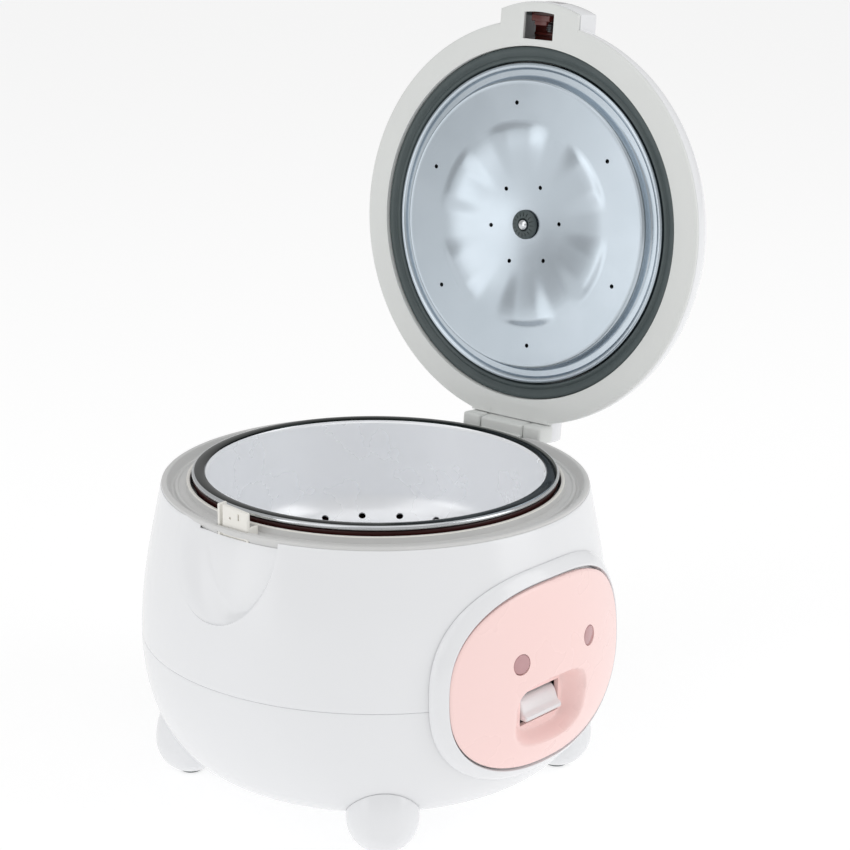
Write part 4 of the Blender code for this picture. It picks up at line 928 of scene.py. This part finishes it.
def makeLatch():
    low = lid["low"]
    pin, rise = -95.4, low + 6.6
    rocker = slab((pin - 1.6, -7, rise - 2.6), (pin + 2.4, 7, low + 11), 0.4)
    button = slab((-99.9, -6.8, rise - 1), (pin + 1, 6.8, low + 10.2), 0.5)
    hook = slab((-94.8, -5, low + 1.25), (-92.2, 5, rise), 0.3)
    nose = slab((-93.4, -3.4, low + 1.45), (-90.3, 3.4, low + 3.1), 0.4)
    bm = combined(rocker, "UNION", button, hook, nose)
    bm = combined(bm, "DIFFERENCE", bar(1.5, (pin, -12, rise), (pin, 12, rise)))
    finishPiece("latchRocker", bm, "wineRedAbs", "latch", ["latch_rocker"], lidOpen)
    high = low + 12.1
    guide = slab((-97.1, -9.6, high - 0.7), (-83.1, 9.6, high), 0.1)
    ridge = slab((-87.0, -9.0, high - 2.5), (-85.4, 9.0, high - 0.3), 0.6)
    bm = combined(guide, "UNION", ridge)
    finishPiece("latchGuide", bm, "wineRedAbs", "lid", ["latch_guide"], lidOpen)


def makeVentCap():
    top = lid["low"] + lid["height"] + 3.0
    outline = [
        (7.1, top - 17), (8.7, top - 17), (8.7, top - 3.6), (13, top - 3.6), (13, top - 1.4), (11.6, top),
        (6.4, top), (5.6, top - 0.7), (3, top - 0.7), (3, top - 1.6), (7.1, top - 1.6),
    ]
    bm = spun(outline, 96, 0.4, 30)
    place = lidOpen @ Matrix.Translation((lid["ventX"], 0, 0))
    finishPiece(
        "steamVentCap", bm, "glossyWhiteAbs", "vent", ["steam_vent_cap"], place
    )


def makeHingeBracket():
    bracket = slab((91.0, -12, 122.4), (99.0, 12, 130.2), 1.2)
    base = slab((89.8, -12, 120.7), (95.8, 12, 125.4), 0.3)
    bm = combined(bracket, "UNION", base)
    x, z = shape["hingeX"], shape["hingeZ"]
    pinBore, springRoom = bar(1.9, (x, -30, z), (x, 30, z)), bar(3.3, (x, 1.4, z), (x, 30, z))
    bm = combined(bm, "DIFFERENCE", pinBore, springRoom)
    finishPiece(
        "hingeBracket", bm, "satinGreyPolypropylene", "body", ["hinge_bracket"]
    )


makeLidShell()
makeLidPan()
makeGasket()
makeInnerPlate()
makePlateFixing()
makeLatch()
makeVentCap()
makeHingeBracket()
print("lid made")

# CAD nodes that keep their shape and take a better finish

kept = {
    "zincPlatedSteel": [
        "lever_arm", "lever_pin", "lever_stand", "spring_cup", "sensor_spring", "inner_can", "latch_pin",
        "latch_spring", "hinge_pin", "lid_spring", "base_screw_1", "base_screw_2", "base_screw_3",
        "base_screw_4",
    ],
    "castAluminium": ["heating_plate", "sensor_cup"],
    "blackPhenolic": ["power_inlet", "micro_switch", "magnet"],
    "greenEpoxyBoard": ["lamp_board"],
    "dustyPinkPolycarbonate": ["warm_lamp", "cook_lamp"],
}
for finish, names in kept.items():
    for name in names:
        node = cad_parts[name]
        for spot in node.material_slots:
            spot.material = paint[finish]
print("kept CAD nodes finished")

# stage, lights and camera, whose sizes and distances are in metres

stage = {"floor": "#B4B4B4", "glow": 0.64, "world": 0.56, "key": 4.2, "side": 8.0, "top": 4.2, "plate": 2.4}


def makeStage():
    bm = bmesh.new()
    bmesh.ops.create_grid(bm, x_segments=1, y_segments=1, size=4)
    bmesh.ops.translate(bm, vec=(0, 0, -0.01205), verts=bm.verts)
    mesh = bpy.data.meshes.new("floor")
    bm.to_mesh(mesh)
    bm.free()
    floor = bpy.data.objects.new("floor", mesh)
    bpy.context.scene.collection.objects.link(floor)
    sweep = bpy.data.materials.new("paperSweep")  # matt white background paper
    sweep.use_nodes = True
    shader = sweep.node_tree.nodes["Principled BSDF"]
    shader.inputs["Base Color"].default_value = linear(stage["floor"])
    shader.inputs["Roughness"].default_value = 0.9
    shader.inputs["Emission Color"].default_value = (1, 1, 1, 1)
    shader.inputs["Emission Strength"].default_value = stage["glow"]  # lifts the paper to plain white
    shader.inputs["Specular IOR Level"].default_value = 0.1
    mesh.materials.append(sweep)
    world = bpy.data.worlds.new("softWhiteRoom")
    world.use_nodes = True
    world.node_tree.nodes["Background"].inputs["Color"].default_value = (1, 1, 1, 1)
    world.node_tree.nodes["Background"].inputs["Strength"].default_value = stage["world"]
    bpy.context.scene.world = world


def softBox(name, energy, size, azimuth, elevation, distance, target=(0, 0, 0.1)):
    light = bpy.data.lights.new(name, "AREA")
    light.energy, light.shape = energy, "RECTANGLE"
    light.size, light.size_y = size
    box = bpy.data.objects.new(name, light)
    a, e = math.radians(azimuth), math.radians(elevation)
    back = Vector((math.sin(a) * math.cos(e), -math.cos(a) * math.cos(e), math.sin(e)))
    box.location = Vector(target) + back * distance
    box.rotation_mode = "QUATERNION"
    box.rotation_quaternion = (-back).to_track_quat("-Z", "Y")
    bpy.context.scene.collection.objects.link(box)


view = {
    "distance": 1.0, "elevation": 17.5536, "azimuth": -50.4, "yaw": -1.2331, "pitch": 1.0352, "roll": -0.5853,
    "lens": 97.279, "rimHeight": 0.130, "shift": 0.0018,
}


def makeCamera():
    data = bpy.data.cameras.new("camera")
    data.lens, data.sensor_width, data.sensor_fit = view["lens"], 36.0, "HORIZONTAL"
    data.clip_start, data.clip_end = 0.05, 50
    data.shift_x = view["shift"]
    camera = bpy.data.objects.new("camera", data)
    e = math.radians(view["elevation"])
    back = Vector((0, -math.cos(e), math.sin(e)))
    forward, right = -back, Vector((1, 0, 0))
    yaw = Matrix.Rotation(math.radians(view["yaw"]), 3, "Z")
    forward, right = yaw @ forward, yaw @ right
    forward = Matrix.Rotation(math.radians(view["pitch"]), 3, right) @ forward
    up = right.cross(forward)
    roll = Matrix.Rotation(math.radians(view["roll"]), 3, forward)
    right, up = roll @ right, roll @ up
    turn = Matrix.Rotation(math.radians(view["azimuth"]), 3, "Z")
    axes = Matrix((turn @ right, turn @ up, turn @ -forward)).transposed()
    camera.location = turn @ (back * view["distance"]) + Vector((0, 0, view["rimHeight"]))
    camera.rotation_mode = "QUATERNION"
    camera.rotation_quaternion = axes.to_quaternion()
    bpy.context.scene.collection.objects.link(camera)
    bpy.context.scene.camera = camera


makeStage()
softBox("keyBox", stage["key"], (1.2, 1.6), -95, 40, 1.9)
softBox("sideBox", stage["side"], (0.9, 1.8), 25, 25, 1.8)
softBox("topBox", stage["top"], (1.6, 1.6), -50, 85, 1.8)
softBox("plateBox", stage["plate"], (0.7, 1.1), -112, 4, 1.5, (0, 0, 0.22))
makeCamera()
bpy.context.scene.view_settings.view_transform = "Standard"
print("stage, lights and camera made")

bpy.context.view_layer.update()
